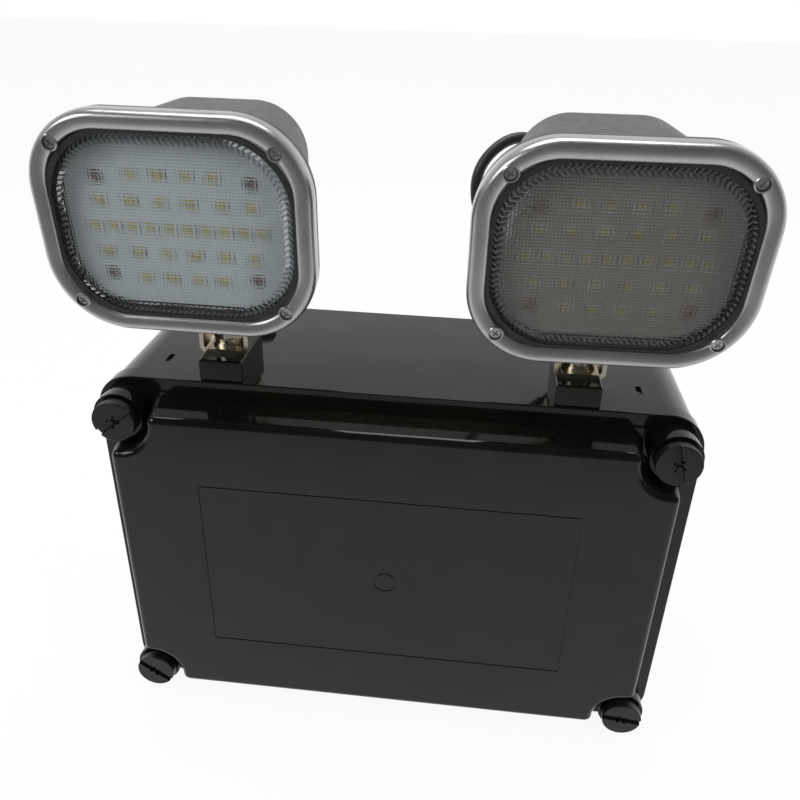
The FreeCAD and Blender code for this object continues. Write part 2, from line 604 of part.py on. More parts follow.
def make_cover_screws():
    """Large plastic screws, slotted across the head with a small cross recess in the middle."""
    boss_front = -value_of(COLLAR_FRONT) - size("cover_boss_rise")
    head_back = boss_front - size("screw_seal_thickness")
    head_front = head_back - size("screw_head_height")
    head_radius = size("screw_head_radius")
    shank_radius = size("screw_shank_radius")
    shank_end = -size("box_depth") + size("screw_shank_length") - 2 * size("screw_hole_clearance")
    screws = []
    seals = []
    for (sx, sz), turn in SCREW_TURNS.items():
        centre = FreeCAD.Vector(sx * value_of(SCREW_X), 0, sz * value_of(SCREW_Z))
        head = Part.makeCylinder(head_radius, size("screw_head_height"),
                                 centre + FreeCAD.Vector(0, head_front, 0), Y_AXIS)
        head = head.makeFillet(0.5, [edge for edge in head.Edges if lies_at(edge, 1, head_front)])
        shank = Part.makeCylinder(shank_radius, shank_end - head_back,
                                  centre + FreeCAD.Vector(0, head_back, 0), Y_AXIS)
        slot = Part.makeBox(2.2 * head_radius, size("screw_slot_depth"), size("screw_slot_width"),
                            FreeCAD.Vector(-1.1 * head_radius, head_front, -size("screw_slot_width") / 2))
        cross = slot.copy()
        for angle in (45, 135):
            arm = Part.makeBox(size("screw_cross_size"), 1.5 * size("screw_slot_depth"),
                               size("screw_cross_width"),
                               FreeCAD.Vector(-size("screw_cross_size") / 2, head_front,
                                              -size("screw_cross_width") / 2))
            arm.rotate(FreeCAD.Vector(0, 0, 0), Y_AXIS, -angle)
            cross = cross.fuse(arm)
        cross.rotate(FreeCAD.Vector(0, 0, 0), Y_AXIS, -turn)
        cross.translate(centre)
        screws.append(head.fuse(shank).cut(cross).removeSplitter().Solids[0])
        ring = Part.makeCylinder(size("screw_seal_radius"), size("screw_seal_thickness"),
                                 centre + FreeCAD.Vector(0, head_back, 0), Y_AXIS)
        hole = Part.makeCylinder(shank_radius + size("screw_hole_clearance") / 2,
                                 size("screw_seal_thickness"),
                                 centre + FreeCAD.Vector(0, head_back, 0), Y_AXIS)
        seals.append(ring.cut(hole))
    group_part("cover_screws", screws)
    group_part("cover_screw_seals", seals)


def make_post(side_name):
    """A solid block on the box's top that reaches forward over the cover's collar."""
    name = f"post_{side_name}"
    body = start_part(name)
    centre = POST_X[side_name]
    sketch = start_sketch(body, name + "_Plan", "XY_Plane", BOX_TOP)
    rectangle(sketch, "plan", "<post_width>", "<post_depth>", centre, "<swivel_y>")
    extrude(body, name + "_Block", sketch, "<cover_overhang> + <post_height>")
    top = value_of(POST_TOP)
    round_edges(body, name + "_Edges", "<post_edge_radius>",
                lambda edge: along(edge, Z_AXIS) or lies_at(edge, 2, top))
    sketch = start_sketch(body, name + "_CollarStep", "XY_Plane", BOX_TOP)
    reach = f"{COLLAR_FRONT} - ({SEAM}) + <gasket_thickness>"
    rectangle(sketch, "step", "2 * <post_width>", f"2 * ({reach})", centre, f"-({COLLAR_FRONT})")
    extrude(body, name + "_Step", sketch, "<cover_overhang> + <post_overhang_gap>", cut=True, reverse=True)
    sketch = start_sketch(body, name + "_Bore", "XY_Plane", POST_TOP)
    circle(sketch, "bore", SWIVEL_HOLE, centre, "<swivel_y>")
    extrude(body, name + "_BoltHole", sketch, "2 * <post_height>", cut=True)


def hexagon(flats, height, base, axis):
    """A hexagonal prism with a little of each corner turned off its outer end."""
    radius = flats / math.sqrt(3)
    across = FreeCAD.Vector(0, 0, 1) if abs(axis.z) < 0.5 else FreeCAD.Vector(1, 0, 0)
    points = []
    for i in range(7):
        spin = FreeCAD.Rotation(axis, 60.0 * i)
        points.append(base + spin.multVec(across * radius))
    prism = Part.Face(Part.makePolygon(points)).extrude(axis * height)
    cap = Part.makeCone(radius + 0.4 * height, flats / 2 * 0.98, 0.4 * height + radius - 0.49 * flats,
                        base + axis * (height - 0.4 * height - radius + 0.49 * flats), axis)
    core = Part.makeCylinder(1.2 * radius, max(height - 0.4 * height - radius + 0.49 * flats, 0.01),
                             base, axis)
    return prism.common(core.fuse(cap))


def disc(radius, height, base, axis, hole=0.0):
    shape = Part.makeCylinder(radius, height, base, axis)
    if hole:
        shape = shape.cut(Part.makeCylinder(hole, height, base, axis))
    return shape


def make_swivel_bolt(side_name, side):
    """The bolt that clamps the yoke on its post, with its two washers and the nut inside the box."""
    x = value_of(POST_X[side_name])
    y = size("swivel_y")
    radius = size("swivel_bolt_radius")
    hole = radius + size("swivel_hole_clearance")
    base = value_of(POST_TOP) + size("yoke_sheet")
    flat = disc(size("flat_washer_radius"), size("flat_washer_thickness"),
                FreeCAD.Vector(x, y, base), Z_AXIS, hole)
    above = base + size("flat_washer_thickness")
    spring = disc(size("spring_washer_radius"), size("spring_washer_thickness"),
                  FreeCAD.Vector(x, y, above), Z_AXIS, hole)
    split = Part.makeBox(size("spring_washer_radius"), 0.8, size("spring_washer_thickness"),
                         FreeCAD.Vector(x, y, above))
    split.rotate(FreeCAD.Vector(x, y, above), Z_AXIS, -60 + 30 * side)
    group_part(f"swivel_washers_{side_name}", [flat, spring.cut(split)])
    seat = above + size("spring_washer_thickness")
    ceiling = value_of(BOX_TOP) - size("box_wall")
    foot = ceiling - size("swivel_nut_height") - size("swivel_tail")
    shank = Part.makeCylinder(radius, seat - foot, FreeCAD.Vector(x, y, foot), Z_AXIS)
    head = hexagon(size("swivel_head_flats"), size("swivel_head_height"),
                   FreeCAD.Vector(x, y, seat), Z_AXIS)
    head.rotate(FreeCAD.Vector(x, y, 0), Z_AXIS, 30 + 6 * side)
    bolt = shank.fuse(head).removeSplitter()
    group_part(f"swivel_bolt_{side_name}", bolt.Solids)
    nut = hexagon(size("swivel_head_flats"), size("swivel_nut_height"),
                  FreeCAD.Vector(x, y, ceiling), FreeCAD.Vector(0, 0, -1))
    bore = Part.makeCylinder(radius, 2 * size("swivel_nut_height"),
                             FreeCAD.Vector(x, y, ceiling - 1.5 * size("swivel_nut_height")), Z_AXIS)
    group_part(f"swivel_nut_{side_name}", nut.cut(bore).Solids)


def make_gland(name):
    """A cable gland along +Z: neck below the wall, flange on it, and a domed cap with the lead's hole."""
    body = start_part(name)
    sketch = start_sketch(body, name + "_Profile", "XZ_Plane")
    hole = size("lead_radius") + size("lead_clearance")
    neck, flange, cap = size("gland_neck_radius"), size("gland_radius"), size("gland_cap_radius")
    depth, rise, top = size("gland_neck_length"), size("gland_flange_height"), size("gland_cap_height")
    outline = [(hole, -depth), (neck, -depth), (neck, 0), (flange, 0), (flange, rise), (cap, rise),
               (cap, rise + 0.7 * top), (0.8 * cap, rise + top), (hole, rise + top)]
    edge = []
    for (ax, az), (bx, bz) in zip(outline, outline[1:] + outline[:1]):
        line = Part.LineSegment(FreeCAD.Vector(ax, az, 0), FreeCAD.Vector(bx, bz, 0))
        edge.append(sketch.addGeometry(line))
    for i in range(len(edge)):
        sketch.addConstraint(Sketcher.Constraint("Coincident", edge[i], 2, edge[(i + 1) % len(edge)], 1))
    radii = ["<lead_radius> + <lead_clearance>", "<gland_neck_radius>", "<gland_neck_radius>",
             "<gland_radius>", "<gland_radius>", "<gland_cap_radius>", "<gland_cap_radius>",
             "0.8 * <gland_cap_radius>", "<lead_radius> + <lead_clearance>"]
    levels = ["-<gland_neck_length>", "-<gland_neck_length>", "0", "0", "<gland_flange_height>",
              "<gland_flange_height>", "<gland_flange_height> + 0.7 * <gland_cap_height>",
              "<gland_flange_height> + <gland_cap_height>", "<gland_flange_height> + <gland_cap_height>"]
    for i, (radius, level) in enumerate(zip(radii, levels)):
        x, z = outline[i]
        named(sketch, f"r{i}_out", Sketcher.Constraint("DistanceX", -1, 1, edge[i], 1, x), radius)
        if z == 0:
            sketch.addConstraint(Sketcher.Constraint("PointOnObject", edge[i], 1, -1))
        else:
            named(sketch, f"z{i}_up", Sketcher.Constraint("DistanceY", -1, 1, edge[i], 1, z), level)
    turn = body.newObject("PartDesign::Revolution", name + "_Turned")
    turn.Profile = sketch
    turn.ReferenceAxis = (sketch, ["V_Axis"])
    turn.Angle = 360
    doc.recompute()
    return body


# ---------------------------------------------------------------- the parts inside the box

def make_battery():
    """A shrink-wrapped stick of cells laid side by side on the back wall."""
    floor = -size("back_wall")
    radius, length = size("battery_radius"), size("battery_length")
    cells = []
    for i in range(int(size("battery_count"))):
        z = value_of(BATTERY_Z) + (i - (size("battery_count") - 1) / 2) * 2 * radius
        start = FreeCAD.Vector(size("battery_x") - length / 2, floor - radius, z)
        cells.append(Part.makeCylinder(radius, length, start, X_AXIS))
    web = Part.makeBox(length, radius, 2 * radius * (size("battery_count") - 1),
                       FreeCAD.Vector(size("battery_x") - length / 2, floor - 1.5 * radius,
                                      value_of(BATTERY_Z) - radius * (size("battery_count") - 1)))
    wrapped = cells[0]
    for shape in cells[1:] + [web]:
        wrapped = wrapped.fuse(shape)
    group_part("battery_pack", wrapped.removeSplitter().Solids)


def make_battery_clamps():
    """Two sheet straps over the battery, each with a foot on the back wall at either end."""
    floor = -size("back_wall")
    radius, gap, sheet_t = size("battery_radius"), size("clamp_gap"), size("clamp_thickness")
    half = radius * size("battery_count") + gap
    reach = 2 * radius + gap
    clamps = []
    for offset in (-1, 1):
        x = size("battery_x") + offset * size("clamp_offset") - size("clamp_width") / 2
        outer = [(half + sheet_t + size("clamp_foot"), 0), (half + sheet_t + size("clamp_foot"), sheet_t),
                 (half + sheet_t, sheet_t), (half + sheet_t, reach + sheet_t)]
        inner = [(half, reach), (half, 0)]
        profile = outer + [(-z, y) for z, y in reversed(outer)] + [(-z, y) for z, y in reversed(inner)] + inner
        points = [FreeCAD.Vector(x, floor - y, value_of(BATTERY_Z) + z) for z, y in profile]
        face = Part.Face(Part.makePolygon(points + points[:1]))
        clamps.append(face.extrude(X_AXIS * size("clamp_width")))
    group_part("battery_clamps", clamps)


def make_circuit_board():
    body = start_part("control_board")
    sketch = start_sketch(body, "CircuitOutline", "XZ_Plane", "<back_wall> + <circuit_stand>")
    rounded_rectangle(sketch, "outline", "<circuit_width>", "<circuit_height>", "2",
                      "<circuit_x>", CIRCUIT_Z)
    for i, (sx, sz) in enumerate(CORNERS):
        circle(sketch, f"hole{i}", "<circuit_screw_radius> + 0.1",
               f"<circuit_x> + {sx} * (<circuit_width> / 2 - <circuit_screw_inset>)",
               f"({CIRCUIT_Z}) + {sz} * (<circuit_height> / 2 - <circuit_screw_inset>)")
    extrude(body, "CircuitPlate", sketch, "<circuit_thickness>")
    front = "<back_wall> + <circuit_stand> + <circuit_thickness>"
    blocks = [("Relay", "18", "14", "14", "-30", "14"), ("Capacitor", "10", "10", "18", "-8", "16"),
              ("Chip", "16", "10", "3", "14", "12"), ("Choke", "14", "14", "11", "34", "10"),
              ("LeadSocket", "24", "8", "10", "-24", "-20"), ("Fuse", "22", "7", "8", "20", "-20")]
    for label, width, height, depth, x, z in blocks:
        sketch = start_sketch(body, label + "Outline", "XZ_Plane", front)
        rounded_rectangle(sketch, "block", width, height, "1", f"<circuit_x> + {x}", f"({CIRCUIT_Z}) + {z}")
        extrude(body, label, sketch, depth)
    screws = []
    seat = -value_of(front)
    for sx, sz in CORNERS:
        x = size("circuit_x") + sx * (size("circuit_width") / 2 - size("circuit_screw_inset"))
        z = value_of(CIRCUIT_Z) + sz * (size("circuit_height") / 2 - size("circuit_screw_inset"))
        length = size("circuit_screw_length")
        shank = Part.makeCylinder(size("circuit_screw_radius") - 0.02, length,
                                  FreeCAD.Vector(x, seat, z), Y_AXIS)
        head = Part.makeCylinder(size("circuit_screw_head_radius"), size("circuit_screw_head_height"),
                                 FreeCAD.Vector(x, seat, z), -Y_AXIS)
        screws.append(shank.fuse(head).Solids[0])
    group_part("control_board_screws", screws)


def make_transformer():
    """A laminated core with its winding showing on two sides, on two feet against the back wall."""
    floor = -size("back_wall")
    width, height, depth = size("transformer_width"), size("transformer_height"), size("transformer_depth")
    x, z = size("transformer_x"), size("transformer_z")
    core = Part.makeBox(width, depth, 0.6 * height, FreeCAD.Vector(x - width / 2, floor - depth,
                                                                  z - 0.3 * height))
    winding = Part.makeBox(0.6 * width, 0.8 * depth, height,
                           FreeCAD.Vector(x - 0.3 * width, floor - 0.9 * depth, z - height / 2))
    feet = Part.makeBox(1.4 * width, 1.5, 0.4 * height, FreeCAD.Vector(x - 0.7 * width, floor - 1.5,
                                                                      z - 0.2 * height))
    group_part("transformer", core.fuse(winding).fuse(feet).removeSplitter().Solids)


def make_terminal_block():
    body = start_part("terminal_block")
    sketch = start_sketch(body, "TerminalOutline", "XZ_Plane", "<back_wall>")
    rectangle(sketch, "outline", "<terminal_width>", "<terminal_height>", "<terminal_x>", "<terminal_z>")
    extrude(body, "TerminalBody", sketch, "<terminal_depth>")
    sketch = start_sketch(body, "TerminalWells", "XZ_Plane", "<back_wall> + <terminal_depth>")
    for i in range(3):
        circle(sketch, f"well{i}", "0.22 * <terminal_height>",
               f"<terminal_x> + ({i} - 1) * <terminal_width> / 3.4", "<terminal_z>")
    extrude(body, "WellPockets", sketch, "0.4 * <terminal_depth>", cut=True)


# ---------------------------------------------------------------- the yokes and heads, made about the tilt pivot

LUG_WIDTH = "<yoke_width> - 2 * <yoke_sheet> - 2 * <lug_side_gap>"
PIVOT_HOLE = "<pivot_radius> + <pivot_hole_clearance>"
BEZEL_BACK = "<bezel_front> - <bezel_depth>"
LENS_BACK = BEZEL_BACK
LENS_FRONT = "<bezel_front> - <bezel_depth> + <lens_thickness>"
LENS_WIDTH = "<opening_width> + 2 * <lens_rebate> - 2 * <lens_clearance>"
LENS_HEIGHT = "<opening_height> + 2 * <lens_rebate> - 2 * <lens_clearance>"
LENS_CORNER = "<opening_corner> + <lens_rebate> - <lens_clearance>"
BOARD_FRONT = LENS_BACK + " - <board_setback>"
BOARD_BACK = BOARD_FRONT + " - <board_thickness>"
PLATE_BACK = BOARD_BACK + " - <heat_plate_thickness>"
FLANGE_BACK = BEZEL_BACK + " - <flange_depth>"
HOUSING_BACK = FLANGE_BACK + " - <housing_depth>"
HEAD_Z = "<head_centre_height>"


def swivel_placement(side_name):
    """From the pivot's own frame to the box's: turned about the swivel bolt."""
    where = FreeCAD.Vector(value_of(POST_X[side_name]), size("swivel_y"),
                           value_of(POST_TOP) + size("pivot_height"))
    return FreeCAD.Placement(where, FreeCAD.Rotation(Z_AXIS, size("pan_" + side_name)))


def head_placement(side_name):
    """As the yoke's, and tipped about the pivot bolt: positive faces the head up."""
    tip = FreeCAD.Placement(FreeCAD.Vector(0, 0, 0), FreeCAD.Rotation(X_AXIS, -size("tilt_" + side_name)))
    return swivel_placement(side_name).multiply(tip)


def make_yoke(side_name):
    name = f"yoke_{side_name}"
    body = start_part(name)
    foot = size("pivot_height")
    sketch = start_sketch(body, name + "_Front", "XZ_Plane", "-<yoke_depth> / 2")
    rectangle(sketch, "front", "<yoke_width>", "<pivot_height> + <yoke_depth> / 2", "0",
              "(<yoke_depth> / 2 - <pivot_height>) / 2")
    extrude(body, name + "_Block", sketch, "<yoke_depth>")
    sketch = start_sketch(body, name + "_Inner", "XZ_Plane", "-<yoke_depth> / 2")
    rectangle(sketch, "inner", "<yoke_width> - 2 * <yoke_sheet>", "<pivot_height> + <yoke_depth> / 2", "0",
              "(<yoke_depth> / 2 - <pivot_height>) / 2 + <yoke_sheet>")
    extrude(body, name + "_Channel", sketch, "<yoke_depth>", cut=True, reverse=True)
    # inside and outside of the two bends
    inner = size("yoke_width") / 2 - size("yoke_sheet")

    def is_inner_bend(edge):
        return (along(edge, Y_AXIS) and lies_at(edge, 2, size("yoke_sheet") - foot)
                and abs(abs(edge.Vertexes[0].Point.x) - inner) < 0.01)

    def is_outer_bend(edge):
        return along(edge, Y_AXIS) and lies_at(edge, 2, -foot)

    round_edges(body, name + "_InnerBends", "<yoke_bend_radius>", is_inner_bend)
    round_edges(body, name + "_OuterBends", "<yoke_bend_radius> + 0.8 * <yoke_sheet>", is_outer_bend)
    # ears rounded about the pivot
    top = size("yoke_depth") / 2

    def is_ear_corner(edge):
        return along(edge, X_AXIS) and lies_at(edge, 2, top) and edge.Length < 2 * size("yoke_sheet")

    round_edges(body, name + "_EarRounds", "0.98 * <yoke_depth> / 2", is_ear_corner)
    sketch = start_sketch(body, name + "_PivotCircle", "YZ_Plane", "-<yoke_width> / 2")
    circle(sketch, "pivot", PIVOT_HOLE)
    extrude(body, name + "_PivotHole", sketch, "<yoke_width>", cut=True, reverse=True)
    sketch = start_sketch(body, name + "_BoltCircle", "XY_Plane", "-<pivot_height>")
    circle(sketch, "bolt", SWIVEL_HOLE)
    extrude(body, name + "_BoltHole", sketch, "<yoke_sheet>", cut=True, reverse=True)
    body.Placement = swivel_placement(side_name)


def make_pivot_bolt(side_name):
    """The tilt bolt through both ears and the head's lug, and its nut."""
    half = size("yoke_width") / 2
    radius = size("pivot_radius")
    end = -half - size("pivot_nut_height") - size("pivot_tail")
    shank = Part.makeCylinder(radius, half - end, FreeCAD.Vector(end, 0, 0), X_AXIS)
    head = hexagon(size("pivot_head_flats"), size("pivot_head_height"), FreeCAD.Vector(half, 0, 0), X_AXIS)
    bolt = group_part(f"pivot_bolt_{side_name}", shank.fuse(head).removeSplitter().Solids)
    nut = hexagon(size("pivot_head_flats"), size("pivot_nut_height"), FreeCAD.Vector(-half, 0, 0), -X_AXIS)
    bore = Part.makeCylinder(radius, 2 * size("pivot_nut_height"),
                             FreeCAD.Vector(-half - 1.5 * size("pivot_nut_height"), 0, 0), X_AXIS)
    nut = group_part(f"pivot_nut_{side_name}", nut.cut(bore).Solids)
    for piece in (bolt, nut):
        piece.Placement = swivel_placement(side_name)


def make_bezel(side_name):
    name = f"bezel_{side_name}"
    body = start_part(name)
    sketch = start_sketch(body, name + "_Outline", "XZ_Plane", BEZEL_BACK)
    rounded_rectangle(sketch, "outline", "<head_width>", "<head_height>", "<head_corner>", "0", HEAD_Z)
    extrude(body, name + "_Block", sketch, "<bezel_depth>")
    front = -size("bezel_front")
    round_edges(body, name + "_Crown", "<bezel_crown_radius>", lambda edge: lies_at(edge, 1, front))
    sketch = start_sketch(body, name + "_Opening", "XZ_Plane", BEZEL_BACK)
    rounded_rectangle(sketch, "opening", "<opening_width>", "<opening_height>", "<opening_corner>", "0", HEAD_Z)
    extrude(body, name + "_Window", sketch, "<bezel_depth>", cut=True, reverse=True)
    opening = size("opening_width") / 2 + 0.01
    round_edges(body, name + "_InnerLip", "<bezel_lip_radius>",
                lambda edge: lies_at(edge, 1, front) and abs(edge.BoundBox.Center.x) <= opening
                and edge.BoundBox.XMax <= opening and edge.BoundBox.XMin >= -opening)
    sketch = start_sketch(body, name + "_RebateOutline", "XZ_Plane", BEZEL_BACK)
    rounded_rectangle(sketch, "rebate", "<opening_width> + 2 * <lens_rebate>",
                      "<opening_height> + 2 * <lens_rebate>", "<opening_corner> + <lens_rebate>", "0", HEAD_Z)
    extrude(body, name + "_Rebate", sketch, "<lens_thickness> + <lens_seal_thickness>", cut=True,
            reverse=True)
    sketch = start_sketch(body, name + "_RecessCircles", "XZ_Plane", BEZEL_BACK + " + <bezel_recess_floor>")
    hole_sketch = start_sketch(body, name + "_ScrewCircles", "XZ_Plane", BEZEL_BACK)
    for i, (sx, sz) in enumerate(CORNERS):
        at = (f"{sx} * <bezel_screw_pitch_x> / 2", f"{HEAD_Z} + {sz} * <bezel_screw_pitch_z> / 2")
        circle(sketch, f"recess{i}", "<bezel_recess_radius>", *at)
        circle(hole_sketch, f"hole{i}", "<bezel_screw_radius> + 0.2", *at)
    extrude(body, name + "_Recesses", sketch, "<bezel_depth>", cut=True, reverse=True)
    extrude(body, name + "_ScrewHoles", hole_sketch, "<bezel_depth>", cut=True, reverse=True)
    body.Placement = head_placement(side_name)


def make_lens(side_name):
    name = f"lens_{side_name}"
    body = start_part(name)
    sketch = start_sketch(body, name + "_Outline", "XZ_Plane", LENS_BACK)
    rounded_rectangle(sketch, "outline", LENS_WIDTH, LENS_HEIGHT, LENS_CORNER, "0", HEAD_Z)
    extrude(body, name + "_Plate", sketch, "<lens_thickness>")
    body.Placement = head_placement(side_name)
    name = f"lens_gasket_{side_name}"
    body = start_part(name)
    sketch = start_sketch(body, name + "_Ring", "XZ_Plane", LENS_FRONT)
    rounded_rectangle(sketch, "outer", LENS_WIDTH, LENS_HEIGHT, LENS_CORNER, "0", HEAD_Z)
    rounded_rectangle(sketch, "inner", "<opening_width> - 2 * <lens_seal_reach>",
                      "<opening_height> - 2 * <lens_seal_reach>", "<opening_corner> - <lens_seal_reach>",
                      "0", HEAD_Z)
    extrude(body, name + "_Seal", sketch, "<lens_seal_thickness>")
    body.Placement = head_placement(side_name)


def make_housing(side_name):
    """The moulded shell: flange, tapered body, hollow, pillars for the light engine, and the pivot lug."""
    name = f"head_housing_{side_name}"
    body = start_part(name)
    sketch = start_sketch(body, name + "_Flange", "XZ_Plane", FLANGE_BACK)
    rounded_rectangle(sketch, "flange", "<head_width> - 2 * <flange_inset>",
                      "<head_height> - 2 * <flange_inset>", "<head_corner> - <flange_inset>", "0", HEAD_Z)
    extrude(body, name + "_FlangePad", sketch, "<flange_depth>")
    front_sketch = start_sketch(body, name + "_BodyFront", "XZ_Plane", FLANGE_BACK)
    rounded_rectangle(front_sketch, "front", "<head_width> - 2 * <housing_front_inset>",
                      "<head_height> - 2 * <housing_front_inset>", "<head_corner> - <housing_front_inset>",
                      "0", HEAD_Z)
    back_sketch = start_sketch(body, name + "_BodyBack", "XZ_Plane", HOUSING_BACK)
    rounded_rectangle(back_sketch, "back", "<housing_back_width>", "<housing_back_height>",
                      "<housing_back_corner>", "0", HEAD_Z)
    loft = body.newObject("PartDesign::AdditiveLoft", name + "_Taper")
    loft.Profile = front_sketch
    loft.Sections = [back_sketch]
    loft.Ruled = True
    doc.recompute()
    back = -value_of(HOUSING_BACK)
    round_edges(body, name + "_BackEdge", "<housing_edge_radius>", lambda edge: lies_at(edge, 1, back))
    # the hollow: straight through the flange, then tapering with the wall
    sketch = start_sketch(body, name + "_Mouth", "XZ_Plane", BEZEL_BACK)
    rounded_rectangle(sketch, "mouth", "<head_width> - 2 * <housing_rim>", "<head_height> - 2 * <housing_rim>",
                      "<head_corner> - <housing_rim>", "0", HEAD_Z)
    extrude(body, name + "_MouthCut", sketch, "<flange_depth>", cut=True)
    hollow_front = start_sketch(body, name + "_HollowFront", "XZ_Plane", FLANGE_BACK)
    inset = "<housing_front_inset> + <housing_wall>"
    rounded_rectangle(hollow_front, "hollow", f"<head_width> - 2 * ({inset})", f"<head_height> - 2 * ({inset})",
                      f"<head_corner> - ({inset})", "0", HEAD_Z)
    hollow_back = start_sketch(body, name + "_HollowBack", "XZ_Plane", HOUSING_BACK + " + <housing_wall>")
    rounded_rectangle(hollow_back, "hollow", "<housing_back_width> - 2 * <housing_wall>",
                      "<housing_back_height> - 2 * <housing_wall>",
                      "<housing_back_corner> - <housing_wall>", "0", HEAD_Z)
    cut = body.newObject("PartDesign::SubtractiveLoft", name + "_Hollow")
    cut.Profile = hollow_front
    cut.Sections = [hollow_back]
    cut.Ruled = True
    doc.recompute()
    # pillars up from the back wall to the heat plate
    sketch = start_sketch(body, name + "_PillarCircles", "XZ_Plane", HOUSING_BACK + " + <housing_wall> / 2")
    holes = start_sketch(body, name + "_PillarHoles", "XZ_Plane", PLATE_BACK)
    for i, (sx, sz) in enumerate(CORNERS):
        at = (f"{sx} * <board_screw_pitch_x> / 2", f"{HEAD_Z} + {sz} * <board_screw_pitch_z> / 2")
        circle(sketch, f"pillar{i}", "<board_pillar_radius>", *at)
        circle(holes, f"hole{i}", "<board_screw_radius>", *at)
    extrude(body, name + "_Pillars", sketch, f"{PLATE_BACK} - ({HOUSING_BACK}) - <housing_wall> / 2")
    extrude(body, name + "_PillarScrewHoles", holes, "<board_screw_length>", cut=True)
    # bezel screw holes and the gland's hole
    sketch = start_sketch(body, name + "_RimHoles", "XZ_Plane", BEZEL_BACK)
    for i, (sx, sz) in enumerate(CORNERS):
        circle(sketch, f"hole{i}", "<bezel_screw_radius>", f"{sx} * <bezel_screw_pitch_x> / 2",
               f"{HEAD_Z} + {sz} * <bezel_screw_pitch_z> / 2")
    extrude(body, name + "_RimScrewHoles", sketch, "<bezel_screw_length> - <bezel_recess_floor> + 0.4", cut=True)
    sketch = start_sketch(body, name + "_GlandCircle", "XZ_Plane", HOUSING_BACK)
    circle(sketch, "gland", NECK_HOLE, "0", "<head_gland_height>")
    extrude(body, name + "_GlandHole", sketch, "<housing_wall>", cut=True, reverse=True)
    # the lug: a web below the body, rounded about the pivot
    sketch = start_sketch(body, name + "_LugOutline", "YZ_Plane", f"-({LUG_WIDTH}) / 2")
    lug_outline(sketch)
    extrude(body, name + "_Lug", sketch, LUG_WIDTH)
    sketch = start_sketch(body, name + "_LugCircle", "YZ_Plane", f"-({LUG_WIDTH}) / 2")
    circle(sketch, "pivot", PIVOT_HOLE)
    extrude(body, name + "_LugHole", sketch, LUG_WIDTH, cut=True, reverse=True)
    body.Placement = head_placement(side_name)


def lug_outline(sketch):
    """Half round about the pivot, with straight sides up into the housing's lower wall."""
    r = size("lug_radius")
    top = "<head_centre_height> - <housing_back_height> / 2 + <housing_wall> * 0.6"
    up = value_of(top)
    v = FreeCAD.Vector
    left = sketch.addGeometry(Part.LineSegment(v(-r, up, 0), v(-r, 0, 0)))
    bowl = sketch.addGeometry(Part.ArcOfCircle(Part.Circle(v(0, 0, 0), v(0, 0, 1), r), math.pi, 2 * math.pi))
    right = sketch.addGeometry(Part.LineSegment(v(r, 0, 0), v(r, up, 0)))
    cap = sketch.addGeometry(Part.LineSegment(v(r, up, 0), v(-r, up, 0)))
    sketch.addConstraint(Sketcher.Constraint("Tangent", left, 2, bowl, 1))
    sketch.addConstraint(Sketcher.Constraint("Tangent", bowl, 2, right, 1))
    sketch.addConstraint(Sketcher.Constraint("Coincident", right, 2, cap, 1))
    sketch.addConstraint(Sketcher.Constraint("Coincident", cap, 2, left, 1))
    sketch.addConstraint(Sketcher.Constraint("Horizontal", cap))
    sketch.addConstraint(Sketcher.Constraint("Vertical", left))
    sketch.addConstraint(Sketcher.Constraint("Coincident", bowl, 3, -1, 1))
    named(sketch, "lug_r", Sketcher.Constraint("Radius", bowl, r), "<lug_radius>")
    named(sketch, "lug_top", Sketcher.Constraint("DistanceY", -1, 1, cap, 1, up), top)


def make_light_engine(side_name):
    """Heat plate, board, its LEDs and its screws."""
    placement = head_placement(side_name)
    for name, margin, level, thickness in (
        (f"heat_plate_{side_name}", " + 2 * <heat_plate_margin>", PLATE_BACK, "<heat_plate_thickness>"),
        (f"led_board_{side_name}", "", BOARD_BACK, "<board_thickness>"),
    ):
        body = start_part(name)
        sketch = start_sketch(body, name + "_Outline", "XZ_Plane", level)
        rounded_rectangle(sketch, "outline", "<board_width>" + margin, "<board_height>" + margin,
                          "<board_corner>", "0", HEAD_Z)
        for i, (sx, sz) in enumerate(CORNERS):
            circle(sketch, f"hole{i}", "<board_screw_radius> + 0.1", f"{sx} * <board_screw_pitch_x> / 2",
                   f"{HEAD_Z} + {sz} * <board_screw_pitch_z> / 2")
        extrude(body, name + "_Plate", sketch, thickness)
        body.Placement = placement
    front = -value_of(BOARD_FRONT)
    centre = size("head_centre_height")
    chips = []
    for row, count in LED_ROWS.items():
        pitch = size("led_middle_pitch") if row == 0 else size("led_column_pitch")
        for i in range(count):
            x = (i - (count - 1) / 2) * pitch
            z = centre + row * size("led_row_pitch")
            corner = FreeCAD.Vector(x - size("led_width") / 2, front - size("led_thickness"),
                                    z - size("led_height") / 2)
            chips.append(Part.makeBox(size("led_width"), size("led_thickness"), size("led_height"), corner))
    screws = []
    for sx, sz in CORNERS:
        x = sx * size("board_screw_pitch_x") / 2
        z = centre + sz * size("board_screw_pitch_z") / 2
        seat = FreeCAD.Vector(x, front, z)
        shank = Part.makeCylinder(size("board_screw_radius") - 0.02, size("board_screw_length"), seat, Y_AXIS)
        head = Part.makeCylinder(size("board_screw_head_radius"), size("board_screw_head_height"), seat,
                                 -Y_AXIS)
        screws.append(shank.fuse(head).Solids[0])
    group_part(f"leds_{side_name}", chips).Placement = placement
    group_part(f"board_screws_{side_name}", screws).Placement = placement


